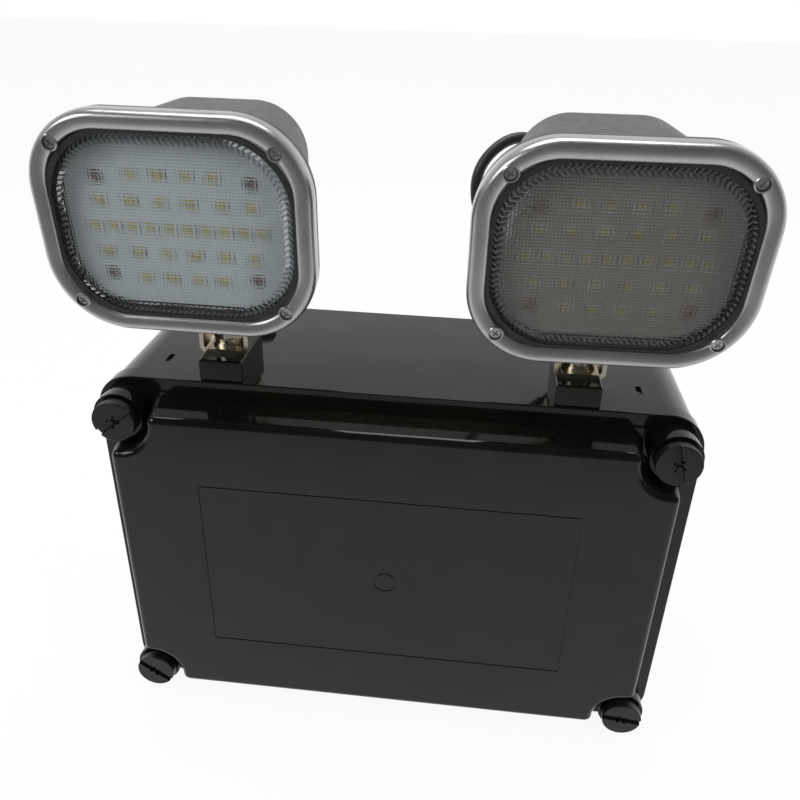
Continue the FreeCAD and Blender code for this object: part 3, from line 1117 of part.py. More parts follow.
def make_bezel_screws(side_name):
    floor = -value_of(BEZEL_BACK) - size("bezel_recess_floor")
    head_height = size("bezel_screw_head_height")
    screws = []
    for sx, sz in CORNERS:
        x = sx * size("bezel_screw_pitch_x") / 2
        z = size("head_centre_height") + sz * size("bezel_screw_pitch_z") / 2
        seat = FreeCAD.Vector(x, floor, z)
        shank = Part.makeCylinder(size("bezel_screw_radius") - 0.02, size("bezel_screw_length"), seat, Y_AXIS)
        head = Part.makeCylinder(size("bezel_screw_head_radius"), head_height, seat, -Y_AXIS)
        slot = Part.makeBox(4 * size("bezel_screw_head_radius"), head_height, 0.5,
                            FreeCAD.Vector(x - 2 * size("bezel_screw_head_radius"), floor - 1.5 * head_height,
                                           z - 0.25))
        other = slot.copy()
        slot.rotate(seat, Y_AXIS, 35)
        other.rotate(seat, Y_AXIS, 125)
        reach = Part.makeCylinder(0.7 * size("bezel_screw_head_radius"), 2 * head_height, seat, -Y_AXIS)
        cross = slot.fuse(other).common(reach)
        screws.append(shank.fuse(head).cut(cross).Solids[0])
    group_part(f"bezel_screws_{side_name}", screws).Placement = head_placement(side_name)


def make_lead(name, points):
    """A round lead along straight runs joined by tangent arcs."""
    edges = []
    start = points[0]
    radii = []
    for before, corner, after in zip(points, points[1:], points[2:]):
        arriving = corner - before
        leaving = after - corner
        shorter = min(arriving.Length, leaving.Length)
        arriving.normalize()
        leaving.normalize()
        turn = arriving.getAngle(leaving)
        radius = 0.45 * shorter / math.tan(turn / 2)
        radii.append(round(radius, 1))
        trim = 0.45 * shorter
        entry = corner - arriving * trim
        leave = corner + leaving * trim
        towards = leaving - arriving
        towards.normalize()
        sagitta = radius / math.cos(turn / 2) - radius
        edges.append(Part.LineSegment(start, entry).toShape())
        edges.append(Part.Arc(entry, corner + towards * sagitta, leave).toShape())
        start = leave
    edges.append(Part.LineSegment(start, points[-1]).toShape())
    path = Part.Wire(edges)
    section = Part.Wire([Part.makeCircle(size("lead_radius"), points[0], points[1] - points[0])])
    tube = path.makePipeShell([section], True, False)
    print("lead radii", radii, "length", round(path.Length, 1), "volume share",
          round(tube.Volume / (path.Length * math.pi * size("lead_radius") ** 2), 4))
    return group_part(name, tube.Solids)


def place_glands():
    """Gland frames: the box's stand on its top, the heads' point back from the middle of the rear wall."""
    for side_name in SIDES:
        gland = make_gland(f"box_gland_{side_name}")
        box_seat = FreeCAD.Vector(value_of(POST_X[side_name]), size("box_gland_y"), value_of(BOX_TOP))
        gland.Placement = FreeCAD.Placement(box_seat, FreeCAD.Rotation())
        gland = make_gland(f"head_gland_{side_name}")
        seat = FreeCAD.Placement(FreeCAD.Vector(0, -value_of(HOUSING_BACK), size("head_gland_height")),
                                 FreeCAD.Rotation(X_AXIS, -90))
        gland.Placement = head_placement(side_name).multiply(seat)
        head_seat = gland.Placement
    depth = size("gland_neck_length")
    reach = size("gland_flange_height") + size("gland_cap_height")
    points = [head_seat.multVec(Z_AXIS * -depth), head_seat.multVec(Z_AXIS * (reach + size("lead_exit_run")))]
    points += [FreeCAD.Vector(*point) for point in LEAD_ROUTE]
    points += [box_seat + Z_AXIS * (reach + size("lead_entry_run")), box_seat - Z_AXIS * depth]
    make_lead("head_lead_right", points)


make_rear_box()
make_cover_gasket()
make_front_cover()
make_cover_screws()
for side_name, side in SIDES.items():
    make_post(side_name)
    make_swivel_bolt(side_name, side)
make_battery()
make_battery_clamps()
make_circuit_board()
make_transformer()
make_terminal_block()
for side_name in SIDES:
    make_yoke(side_name)
    make_pivot_bolt(side_name)
    make_housing(side_name)
    make_bezel(side_name)
    make_lens(side_name)
    make_light_engine(side_name)
    make_bezel_screws(side_name)
place_glands()

doc.recompute()

for item in doc.Objects:
    if "Invalid" in item.State or "Error" in item.State:
        raise RuntimeError(f"{item.Label} failed: {item.State}")
os.makedirs("parts", exist_ok=True)
for piece in parts:
    if piece.Shape.isNull() or not piece.Shape.isValid():
        raise RuntimeError(f"{piece.Label} has no valid shape")
    piece.Shape.exportStep(f"parts/{piece.Label}.step")
    print(piece.Label, len(piece.Shape.Solids), round(piece.Shape.Volume))
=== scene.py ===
"""Looks for the twin-head emergency light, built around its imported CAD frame. Metres, +Z up, front facing -Y."""
import math

import bpy
from mathutils import Matrix, Vector
from mathutils.geometry import delaunay_2d_cdt


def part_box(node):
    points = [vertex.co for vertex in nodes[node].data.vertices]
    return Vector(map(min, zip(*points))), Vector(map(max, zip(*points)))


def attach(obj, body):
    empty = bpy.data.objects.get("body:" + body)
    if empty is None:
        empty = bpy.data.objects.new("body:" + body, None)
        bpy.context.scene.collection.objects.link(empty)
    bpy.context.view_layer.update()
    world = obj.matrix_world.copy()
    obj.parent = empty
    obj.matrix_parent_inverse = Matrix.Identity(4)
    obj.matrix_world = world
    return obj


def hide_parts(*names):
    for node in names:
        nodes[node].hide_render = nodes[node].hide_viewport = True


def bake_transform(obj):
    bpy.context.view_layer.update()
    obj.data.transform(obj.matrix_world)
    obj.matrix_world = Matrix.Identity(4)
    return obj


MM = 0.001

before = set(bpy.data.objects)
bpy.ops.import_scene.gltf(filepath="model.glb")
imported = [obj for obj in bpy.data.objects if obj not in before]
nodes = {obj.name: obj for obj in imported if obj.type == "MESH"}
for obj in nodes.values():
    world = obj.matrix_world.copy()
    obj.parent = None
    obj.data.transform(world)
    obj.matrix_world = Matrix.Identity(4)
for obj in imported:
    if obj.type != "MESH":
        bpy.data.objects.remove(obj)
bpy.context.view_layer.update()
SIDES = ("left", "right")

# ---------------------------------------------------------------- the camera

CAMERA_PLACE = Vector((33.41, -408.21, 260.16)) * MM
CAMERA_YAW = math.radians(-5.545)
CAMERA_PITCH = math.radians(28.408)
CAMERA_ROLL = math.radians(1.547)
CAMERA_LENS = 35.26


def make_camera():
    forward = Vector((math.sin(CAMERA_YAW) * math.cos(CAMERA_PITCH),
                      math.cos(CAMERA_YAW) * math.cos(CAMERA_PITCH), -math.sin(CAMERA_PITCH)))
    level = Vector((math.cos(CAMERA_YAW), -math.sin(CAMERA_YAW), 0))
    upright = level.cross(forward)
    right = math.cos(CAMERA_ROLL) * level + math.sin(CAMERA_ROLL) * upright
    up = math.cos(CAMERA_ROLL) * upright - math.sin(CAMERA_ROLL) * level
    data = bpy.data.cameras.new("camera")
    data.sensor_width = 36.0
    data.lens = CAMERA_LENS
    data.clip_start = 0.01
    camera = bpy.data.objects.new("camera", data)
    bpy.context.scene.collection.objects.link(camera)
    turn = Matrix((right, up, -forward)).transposed().to_4x4()
    camera.matrix_world = Matrix.Translation(CAMERA_PLACE) @ turn
    bpy.context.scene.camera = camera


make_camera()


# ---------------------------------------------------------------- materials

class Shader:
    """A node material under construction: one Principled surface and the textures that feed it."""

    def __init__(self, name, **sockets):
        self.material = bpy.data.materials.new(name)
        self.material.use_nodes = True
        self.tree = self.material.node_tree
        self.surface = self.tree.nodes["Principled BSDF"]
        self.place = self.add("ShaderNodeTexCoord").outputs["Object"]
        for socket, value in sockets.items():
            self.surface.inputs[socket.replace("_", " ")].default_value = value

    def add(self, kind, **settings):
        node = self.tree.nodes.new(kind)
        for key, value in settings.items():
            if key in node.inputs:
                node.inputs[key].default_value = value
            else:
                setattr(node, key, value)
        return node

    def join(self, source, target):
        self.tree.links.new(source, target)

    def noise(self, scale, detail=3.0, rough=0.55, stretch=None):
        """Noise with `scale` features to the metre, drawn out along an axis where stretch says."""
        node = self.add("ShaderNodeTexNoise", Scale=scale, Detail=detail, Roughness=rough)
        place = self.place
        if stretch:
            mapping = self.add("ShaderNodeMapping", Scale=stretch)
            self.join(place, mapping.inputs["Vector"])
            place = mapping.outputs["Vector"]
        self.join(place, node.inputs["Vector"])
        return node.outputs["Fac"]

    def ramp(self, factor, stops):
        """A colour ramp from (position, colour) stops; a plain number is a grey."""
        node = self.add("ShaderNodeValToRGB")
        band = node.color_ramp
        while len(band.elements) < len(stops):
            band.elements.new(0.5)
        for element, (position, colour) in zip(band.elements, stops):
            element.position = position
            tone = (colour,) * 3 if isinstance(colour, (int, float)) else colour
            element.color = (*tone, 1.0)
        self.join(factor, node.inputs["Fac"])
        return node.outputs["Color"]

    def mix(self, factor, first, second):
        node = self.add("ShaderNodeMix", data_type="RGBA")
        self.join(factor, node.inputs["Factor"])
        for value, socket in ((first, node.inputs["A"]), (second, node.inputs["B"])):
            if isinstance(value, tuple):
                socket.default_value = (*value, 1.0)
            else:
                self.join(value, socket)
        return node.outputs["Result"]

    def tree_sum(self, *outputs):
        """The sum of the outputs, no more than one."""
        total = outputs[0]
        for output in outputs[1:]:
            node = self.add("ShaderNodeMath", operation="ADD", use_clamp=True)
            self.join(total, node.inputs[0])
            self.join(output, node.inputs[1])
            total = node.outputs[0]
        return total

    def colour(self, output):
        self.join(output, self.surface.inputs["Base Color"])

    def roughness(self, output):
        self.join(output, self.surface.inputs["Roughness"])

    def bump(self, height, distance, strength=1.0):
        """Adds a bump over any that is there already; distance is the height of a full step, in metres."""
        node = self.add("ShaderNodeBump", Strength=strength, Distance=distance)
        self.join(height, node.inputs["Height"])
        normal = self.surface.inputs["Normal"]
        if normal.is_linked:
            self.join(normal.links[0].from_socket, node.inputs["Normal"])
        self.join(node.outputs["Normal"], normal)


def dusted(shader, base, dust, amount):
    """Fine dust that lies on faces that look up, in patches."""
    normal = shader.add("ShaderNodeNewGeometry").outputs["Normal"]
    split = shader.add("ShaderNodeSeparateXYZ")
    shader.join(normal, split.inputs[0])
    upward = shader.ramp(split.outputs["Z"], [(0.3, 0.0), (1.0, amount)])
    specks = shader.ramp(shader.noise(900.0, 6.0, 0.7), [(0.45, 0.0), (0.75, 1.0)])
    both = shader.add("ShaderNodeMath", operation="MULTIPLY")
    shader.join(upward, both.inputs[0])
    shader.join(specks, both.inputs[1])
    return shader.mix(both.outputs[0], base, dust)


def gloss_black():
    shader = Shader("gloss_black_plastic", Specular_IOR_Level=0.3)
    patches = shader.noise(45.0, 4.0)
    base = shader.ramp(patches, [(0.3, (0.003, 0.003, 0.0022)), (0.7, (0.0055, 0.0055, 0.0042))])
    shader.colour(dusted(shader, base, (0.05, 0.05, 0.045), 0.25))
    wiped = shader.noise(60.0, 5.0, 0.6, (1.0, 1.0, 2.6))
    shader.roughness(shader.ramp(wiped, [(0.32, 0.05), (0.55, 0.08), (0.8, 0.16)]))
    shader.bump(shader.noise(22.0, 1.0), 0.0009, 0.3)
    shader.bump(shader.noise(1600.0, 2.0, 0.5), 0.00002, 0.15)
    return shader.material


def screw_black():
    shader = Shader("screw_black_plastic", Specular_IOR_Level=0.3)
    base = shader.ramp(shader.noise(220.0, 4.0), [(0.3, (0.005, 0.005, 0.005)), (0.8, (0.011, 0.011, 0.0105))])
    shader.colour(dusted(shader, base, (0.08, 0.08, 0.075), 0.3))
    shader.roughness(shader.ramp(shader.noise(400.0, 4.0), [(0.3, 0.25), (0.8, 0.42)]))
    shader.bump(shader.noise(900.0, 3.0), 0.00004, 0.5)
    return shader.material


def rubber(name, tone):
    shader = Shader(name)
    low, high = (tone * 0.7,) * 3, (tone * 1.5,) * 3
    shader.colour(shader.ramp(shader.noise(350.0, 5.0), [(0.3, low), (0.75, high)]))
    shader.roughness(shader.ramp(shader.noise(700.0, 4.0), [(0.3, 0.48), (0.8, 0.72)]))
    shader.bump(shader.noise(2600.0, 3.0), 0.00003, 0.6)
    return shader.material


def lead_rubber():
    shader = Shader("lead_black_rubber")
    base = shader.ramp(shader.noise(120.0, 4.0), [(0.3, (0.012, 0.012, 0.012)), (0.8, (0.03, 0.03, 0.029))])
    shader.colour(dusted(shader, base, (0.16, 0.155, 0.145), 0.5))
    shader.roughness(shader.ramp(shader.noise(500.0, 4.0), [(0.3, 0.36), (0.8, 0.55)]))
    shader.bump(shader.noise(1500.0, 3.0), 0.00003, 0.5)
    return shader.material


def head_grey():
    shader = Shader("head_grey_plastic")
    base = shader.ramp(shader.noise(70.0, 5.0), [(0.3, (0.052, 0.048, 0.044)), (0.75, (0.068, 0.063, 0.057))])
    shader.colour(dusted(shader, base, (0.2, 0.19, 0.17), 0.25))
    shader.roughness(shader.ramp(shader.noise(300.0, 5.0), [(0.3, 0.38), (0.8, 0.52)]))
    shader.bump(shader.noise(3200.0, 2.0), 0.00004, 0.35)
    return shader.material


def bezel_silver():
    shader = Shader("bezel_silver_paint", Metallic=0.85, Coat_Weight=0.8, Coat_Roughness=0.08)
    flakes = shader.noise(5200.0, 2.0, 0.6)
    base = shader.ramp(flakes, [(0.3, (0.3, 0.29, 0.29)), (0.7, (0.5, 0.49, 0.485))])
    shade = shader.ramp(shader.noise(55.0, 4.0), [(0.3, 0.86), (0.75, 1.0)])
    node = shader.add("ShaderNodeMix", data_type="RGBA", blend_type="MULTIPLY")
    node.inputs["Factor"].default_value = 1.0
    shader.join(base, node.inputs["A"])
    shader.join(shade, node.inputs["B"])
    shader.colour(node.outputs["Result"])
    shader.roughness(shader.ramp(shader.noise(500.0, 4.0), [(0.3, 0.27), (0.8, 0.36)]))
    shader.bump(flakes, 0.000012, 0.4)
    return shader.material


def steel(name, low, high, rough):
    """Plated steel with fine drawn scratches and a few tarnished patches."""
    shader = Shader(name, Metallic=1.0)
    base = shader.ramp(shader.noise(160.0, 5.0), [(0.35, low), (0.7, high)])
    stains = shader.ramp(shader.noise(90.0, 6.0, 0.7), [(0.62, 0.0), (0.78, 0.5)])
    shader.colour(shader.mix(stains, base, tuple(0.55 * tone for tone in low)))
    drawn = shader.noise(260.0, 4.0, 0.6, (0.15, 6.0, 6.0))
    shader.roughness(shader.ramp(drawn, [(0.3, rough), (0.8, rough + 0.16)]))
    shader.bump(drawn, 0.00001, 0.5)
    return shader.material


def board_white(name, tone):
    shader = Shader(name, Specular_IOR_Level=0.4)
    low = tuple(0.93 * part for part in tone)
    shader.colour(shader.ramp(shader.noise(240.0, 4.0), [(0.3, low), (0.7, tone)]))
    shader.roughness(shader.ramp(shader.noise(800.0, 3.0), [(0.3, 0.35), (0.8, 0.5)]))
    shader.bump(shader.noise(1800.0, 2.0), 0.00002, 0.4)
    return shader.material


def led_package(side, tone):
    shader = Shader(f"led_package_{side}")
    low, high = ((tone, tone, 0.92 * tone) for tone in (0.5 * tone, 0.62 * tone))
    shader.colour(shader.ramp(shader.noise(1500.0, 2.0), [(0.3, low), (0.7, high)]))
    shader.roughness(shader.ramp(shader.noise(900.0, 2.0), [(0.3, 0.3), (0.8, 0.45)]))
    return shader.material


def led_phosphor(side, tone):
    shader = Shader(f"led_phosphor_{side}")
    low, high = (tuple(tone * part for part in colour) for colour in ((0.4, 0.37, 0.1), (0.56, 0.52, 0.2)))
    shader.colour(shader.ramp(shader.noise(2500.0, 3.0), [(0.3, low), (0.7, high)]))
    shader.roughness(shader.ramp(shader.noise(1800.0, 2.0), [(0.3, 0.16), (0.8, 0.3)]))
    shader.bump(shader.noise(2200.0, 2.0), 0.00004, 0.4)
    return shader.material


def clear_lens():
    """Clear plastic whose prisms' valleys are painted darker: a painted shade that stands in for the dark surroundings
    the prisms refract.
    """
    shader = Shader("clear_lens_plastic", Transmission_Weight=1.0, IOR=1.49)
    lens_tint = shader.ramp(shader.noise(60.0, 3.0), [(0.3, (0.93, 0.95, 0.955)), (0.8, (0.97, 0.98, 0.985))])
    # the prism attribute sets the painted shade: most in the valleys, least on the tips
    height = shader.add("ShaderNodeAttribute", attribute_name="prism").outputs["Fac"]
    painted_prism_shade = shader.ramp(height, [(0.0, 1.0), (0.42, 0.15), (0.5, 0.5), (0.78, 0.16), (1.0, 0.0)])
    shader.colour(shader.mix(painted_prism_shade, lens_tint, (0.26, 0.28, 0.3)))
    shader.roughness(shader.ramp(shader.noise(700.0, 3.0), [(0.3, 0.03), (0.8, 0.1)]))
    return shader.material


def plain(name, low, high, rough, metallic=0.0, grain=600.0):
    shader = Shader(name, Metallic=metallic)
    shader.colour(shader.ramp(shader.noise(grain, 4.0), [(0.3, low), (0.7, high)]))
    shader.roughness(shader.ramp(shader.noise(grain * 1.7, 3.0), [(0.3, rough), (0.8, rough + 0.14)]))
    shader.bump(shader.noise(grain * 2.0, 3.0), 0.00003, 0.5)
    return shader.material


BLACK = gloss_black()
SCREW = screw_black()
SEAL = rubber("seal_rubber", 0.012)
LEAD = lead_rubber()
GLAND = rubber("gland_plastic", 0.016)
HEAD = head_grey()
SILVER = bezel_silver()
NICKEL = steel("plated_steel", (0.5, 0.45, 0.36), (0.72, 0.67, 0.56), 0.2)
SMALL_SCREW = steel("small_screw_steel", (0.34, 0.33, 0.32), (0.62, 0.61, 0.59), 0.26)
COPPER = plain("board_screw_bronze", (0.13, 0.09, 0.085), (0.26, 0.2, 0.18), 0.4, 0.7, 900.0)
SOLDER = plain("led_solder", (0.1, 0.1, 0.09), (0.24, 0.23, 0.21), 0.3, 0.8, 2200.0)
ALUMINIUM = plain("aluminium_plate", (0.5, 0.5, 0.5), (0.62, 0.62, 0.62), 0.35, 1.0, 300.0)
# the right head's LEDs are painted darker than the left's: painted shade for the right head, which the lamps light less
# than the left
LED_TONES_WITH_PAINTED_SHADE = {"left": 0.8, "right": 0.46}
PACKAGES = {side: led_package(side, tone) for side, tone in LED_TONES_WITH_PAINTED_SHADE.items()}
PHOSPHORS = {side: led_phosphor(side, tone) for side, tone in LED_TONES_WITH_PAINTED_SHADE.items()}
LENS = clear_lens()
# one white board in both heads, painted pale and bluish on the left and dark and warm on the right: painted light on
# the left board and painted shade on the right
BOARDS_PAINTED_LIT_AND_SHADED = {"left": board_white("led_board_left", (0.45, 0.49, 0.5)),
          "right": board_white("led_board_right", (0.18, 0.172, 0.156))}
WRAP = plain("battery_wrap", (0.02, 0.06, 0.22), (0.03, 0.08, 0.3), 0.3)
CIRCUIT = plain("circuit_green", (0.01, 0.09, 0.03), (0.02, 0.14, 0.05), 0.35)
CORE = plain("transformer_core", (0.12, 0.12, 0.13), (0.22, 0.22, 0.23), 0.4, 0.8)
TERMINAL = plain("terminal_grey", (0.35, 0.35, 0.36), (0.45, 0.45, 0.46), 0.45)


def paint(node, material):
    for slot in nodes[node].material_slots:
        slot.material = material


for name, material in (
    ("rear_box", BLACK), ("front_cover", BLACK), ("cover_gasket", SEAL), ("cover_screws", SCREW),
    ("cover_screw_seals", SEAL), ("battery_pack", WRAP), ("battery_clamps", NICKEL),
    ("control_board", CIRCUIT), ("control_board_screws", SMALL_SCREW), ("transformer", CORE),
    ("terminal_block", TERMINAL),
):
    paint(name, material)
for side in SIDES:
    for stem, material in (
        ("post", BLACK), ("swivel_bolt", NICKEL), ("swivel_washers", NICKEL), ("swivel_nut", NICKEL),
        ("box_gland", GLAND), ("yoke", NICKEL), ("pivot_bolt", NICKEL), ("pivot_nut", NICKEL),
        ("head_housing", HEAD), ("bezel", SILVER), ("bezel_screws", SMALL_SCREW), ("lens_gasket", SEAL),
        ("heat_plate", ALUMINIUM), ("led_board", BOARDS_PAINTED_LIT_AND_SHADED[side]), ("board_screws", COPPER),
        ("head_gland", GLAND),
    ):
        paint(f"{stem}_{side}", material)


# ---------------------------------------------------------------- the heads

PIVOTS = {"left": Vector((-79.6, -79.3, 124.35)), "right": Vector((82.0, -79.3, 124.35))}
PANS = {"left": -0.7, "right": 1.8}
TILTS = {"left": -3.8, "right": -6.0}
HEAD_CENTRE = 53.3
LENS_BACK = -43.3
LENS_FRONT = -47.7


def head_place(side):
    """From a head's own frame, about its tilt pivot and in millimetres, to the light's."""
    where = PIVOTS[side] * MM
    pan = Matrix.Rotation(math.radians(PANS[side]), 4, "Z")
    tilt = Matrix.Rotation(math.radians(-TILTS[side]), 4, "X")
    return Matrix.Translation(where) @ pan @ tilt @ Matrix.Scale(MM, 4)


def make_mesh(name, vertices, faces, materials, place=None, smooth=False, indices=None):
    mesh = bpy.data.meshes.new(name)
    mesh.from_pydata(vertices, [], faces)
    if place:
        mesh.transform(place)
    for material in materials:
        mesh.materials.append(material)
    if indices:
        mesh.polygons.foreach_set("material_index", indices)
    mesh.polygons.foreach_set("use_smooth", [smooth] * len(mesh.polygons))
    mesh.update()
    piece = bpy.data.objects.new(name, mesh)
    bpy.context.scene.collection.objects.link(piece)
    return piece


class Outline:
    """A rounded rectangle walked by its length, with its inward offsets."""

    def __init__(self, width, height, radius):
        self.runs = []
        half_w, half_h = width / 2 - radius, height / 2 - radius
        centres = ((half_w, -half_h, -90), (half_w, half_h, 0), (-half_w, half_h, 90), (-half_w, -half_h, 180))
        self.length = 0.0
        for i, (cx, cy, start) in enumerate(centres):
            centre = Vector((cx, cy))
            arc = radius * math.pi / 2
            self.runs.append(("arc", self.length, arc, centre, math.radians(start), radius))
            self.length += arc
            angle = math.radians(start + 90)
            ahead = Vector(centres[(i + 1) % 4][:2]) - centre
            normal = Vector((math.cos(angle), math.sin(angle)))
            self.runs.append(("line", self.length, ahead.length, centre, normal, radius))
            self.length += ahead.length

    def at(self, along, inward=0.0):
        """The point at this length along the outline, moved in by this much."""
        along %= self.length
        for kind, start, length, centre, angle, radius in self.runs:
            if along <= start + length + 1e-9:
                if kind == "arc":
                    turn = angle + (along - start) / radius
                    return centre + (radius - inward) * Vector((math.cos(turn), math.sin(turn)))
                heading = Vector((-angle.y, angle.x))
                return centre + (radius - inward) * angle + (along - start) * heading
        return self.at(0.0, inward)


def inside(point, width, height, radius):
    """How far a point lies inside a rounded rectangle; negative outside."""
    qx = abs(point[0]) - (width / 2 - radius)
    qy = abs(point[1]) - (height / 2 - radius)
    outside = math.hypot(max(qx, 0.0), max(qy, 0.0))
    return radius - outside - min(max(qx, qy), 0.0)


PRISM_STEP = 0.6
PRISM_HEIGHT = 0.26
TOOTH_STEP = 1.15
TOOTH_HEIGHT = 0.5
TOOTH_LEAN = 0.9
BAND_OUTER = 0.15
BAND_WIDTH = 3.3
OPENING = (91.2, 69.8, 26.8)
LENS_SIZE = (95.4, 74.0, 28.9)
LENS_RIM_STEPS = 160
# how far the teeth lie along the band's width, how far they lean there, and whether they stand up
TOOTH_ROWS = ((0.0, 0.0, False), (0.05, 0.0, True), (0.5, TOOTH_LEAN, True), (1.0, 0.0, True))
PRISM_MARGIN = 0.35


def lens_front():
    """The lens's front, prisms inside a band of leaning teeth: points (x, z, height), triangles, rim count, origins."""
    points, edges = [], []
    rim = Outline(*LENS_SIZE)
    count = LENS_RIM_STEPS
    for i in range(count):
        points.append((*rim.at(i * rim.length / count), 0.0))
        edges.append((i, (i + 1) % count))
    opening = Outline(*OPENING)
    teeth = 2 * round(opening.length / TOOTH_STEP / 2)
    step = opening.length / teeth
    rows = []
    for depth, lean, tall in TOOTH_ROWS:
        rows.append(len(points))
        for i in range(teeth):
            spot = opening.at((i + lean) * step, BAND_OUTER + depth * BAND_WIDTH)
            points.append((*spot, TOOTH_HEIGHT * (i % 2) if tall else 0.0))
    for row in rows:
        edges += [(row + i, row + (i + 1) % teeth) for i in range(teeth)]
    for above, below in zip(rows, rows[1:]):
        edges += [(above + i, below + i) for i in range(teeth)]
    margin = BAND_OUTER + BAND_WIDTH + PRISM_MARGIN
    half_w, half_h = int(OPENING[0] / 2 / PRISM_STEP), int(OPENING[1] / 2 / PRISM_STEP)
    for i in range(-half_w, half_w + 1):
        for j in range(-half_h, half_h + 1):
            spot = (i * PRISM_STEP, j * PRISM_STEP)
            if inside(spot, *OPENING) > margin:
                points.append((*spot, PRISM_HEIGHT * (i % 2 + j % 2)))
    flat = [Vector(point[:2]) for point in points]
    spots, _, faces, origins, _, _ = delaunay_2d_cdt(flat, edges, [], 1, 1e-6)
    heights = [points[origin[0]][2] if origin else 0.0 for origin in origins]
    return [(*spot, height) for spot, height in zip(spots, heights)], faces, count, origins


def make_lens(side):
    front, faces, count, origins = lens_front()
    vertices = [(x, LENS_FRONT - height, HEAD_CENTRE + z) for x, z, height in front]
    rim = [next(i for i, origin in enumerate(origins) if k in origin) for k in range(count)]
    faces = [tuple(face) for face in faces]
    start = len(vertices)
    for index in rim:
        x, z, _ = front[index]
        vertices.append((x, LENS_BACK, HEAD_CENTRE + z))
    for k in range(count):
        ahead = (k + 1) % count
        faces.append((rim[ahead], rim[k], start + k, start + ahead))
    faces.append(tuple(start + k for k in range(count)))
    lens = make_mesh(f"prismatic_lens_{side}", vertices, faces, [LENS], head_place(side))
    prism = lens.data.attributes.new("prism", "FLOAT", "POINT")
    # levels for the lens's painted shade: full in the teeth band's valleys, half in the prisms' valleys, little on the
    # teeth's tips, none on the prisms' tips and the back
    prism_shade_levels = []
    for x, z, height in front:
        in_band = inside((x, z), *OPENING) < BAND_OUTER + BAND_WIDTH + 0.2
        prism_shade_levels.append(0.42 * height / TOOTH_HEIGHT if in_band else 0.5 + 0.25 * height / PRISM_HEIGHT)
    prism.data.foreach_set("value", prism_shade_levels + [1.0] * count)
    lens.visible_shadow = False
    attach(lens, f"head_{side}")
    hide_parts(f"lens_{side}")


# each row's place from the middle row, with its count of LEDs and their pitch
LED_ROWS = {2: (4, 10.5), 1: (6, 11.7), 0: (10, 7.3), -1: (6, 11.7), -2: (4, 10.5)}
LED_ROW_PITCH = 10.2
BOARD_CENTRE = HEAD_CENTRE - 1.2
LED_FACE = -40.9
BOARD_BACK = -39.4
BOARD_SIZE = (86.6, 65.2, 21.0)
BOARD_SCREWS = (58.8, 38.0)
# half width, half height and rise of each ring of an LED's package, from its foot in to the phosphor
LED_RINGS = ((2.2, 1.8, 0.0), (2.2, 1.8, 0.6), (2.1, 1.7, 0.7), (1.75, 1.4, 0.7), (1.6, 1.25, 0.5))
# width, half depth and height of a solder tab
TAB = (0.55, 1.5, 0.18)


def add_tab(vertices, faces, x, z):
    """The solder fillet at one end of an LED, highest beside the package."""
    width, depth, rise = TAB
    start = len(vertices)
    for scale, height in ((1.0, 0.0), (0.7, rise)):
        for sx, sz in ((-1, -1), (1, -1), (1, 1), (-1, 1)):
            vertices.append((x + sx * scale * width / 2, LED_FACE - height, z + sz * scale * depth))
    for k in range(4):
        faces.append((start + k, start + (k + 1) % 4, start + 4 + (k + 1) % 4, start + 4 + k))
    faces.append(tuple(start + 4 + k for k in range(4)))


def make_leds(side):
    """Surface-mounted packages: a pale frame round a sunken yellow phosphor, with two solder tabs."""
    vertices, faces, indices = [], [], []
    for row, (count, pitch) in LED_ROWS.items():
        for i in range(count):
            x, z = (i - (count - 1) / 2) * pitch, BOARD_CENTRE + row * LED_ROW_PITCH
            start = len(vertices)
            for half_x, half_z, rise in LED_RINGS:
                for sx, sz in ((-1, -1), (1, -1), (1, 1), (-1, 1)):
                    vertices.append((x + sx * half_x, LED_FACE - rise, z + sz * half_z))
            for ring in range(4):
                for k in range(4):
                    low, high = start + 4 * ring, start + 4 * ring + 4
                    faces.append((low + k, low + (k + 1) % 4, high + (k + 1) % 4, high + k))
                    indices.append(0)
            faces.append(tuple(start + 16 + k for k in range(4)))
            indices.append(1)
            for tip in (-1, 1):
                add_tab(vertices, faces, x + tip * (LED_RINGS[0][0] + TAB[0] / 2), z)
                indices += [2] * 5
    materials = [PACKAGES[side], PHOSPHORS[side], SOLDER]
    leds = make_mesh(f"led_packages_{side}", vertices, faces, materials, head_place(side), indices=indices)
    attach(leds, f"head_{side}")
    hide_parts(f"leds_{side}")


def plate(name, outline, back, front, materials, side, steps=96, edge=0.25):
    """A flat plate with the outline, its front edge a little rounded."""
    walk = Outline(*outline)
    vertices, faces = [], []
    for y, inward in ((back, 0.0), (front + edge, 0.0), (front + 0.3 * edge, 0.3 * edge), (front, edge)):
        for k in range(steps):
            x, z = walk.at(k * walk.length / steps, inward)
            vertices.append((x, y, HEAD_CENTRE + z))
    rows = len(vertices) // steps
    for row in range(rows - 1):
        low, high = row * steps, (row + 1) * steps
        faces += [(low + k, low + (k + 1) % steps, high + (k + 1) % steps, high + k) for k in range(steps)]
    faces.append(tuple(reversed(range(steps))))
    faces.append(tuple((rows - 1) * steps + k for k in range(steps)))
    return make_mesh(name, vertices, faces, materials, head_place(side))


def make_board(side):
    board = plate(f"white_board_{side}", BOARD_SIZE, BOARD_BACK, LED_FACE, [BOARDS_PAINTED_LIT_AND_SHADED[side]], side)
    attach(board, f"head_{side}")
    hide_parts(f"led_board_{side}")


# radius and rise of each ring of a board screw's head, from its foot to its recess
SCREW_RINGS = ((1.9, 0.0), (2.3, 0.25), (2.2, 0.8), (1.7, 1.15), (0.9, 1.25))
SCREW_SIDES = 24


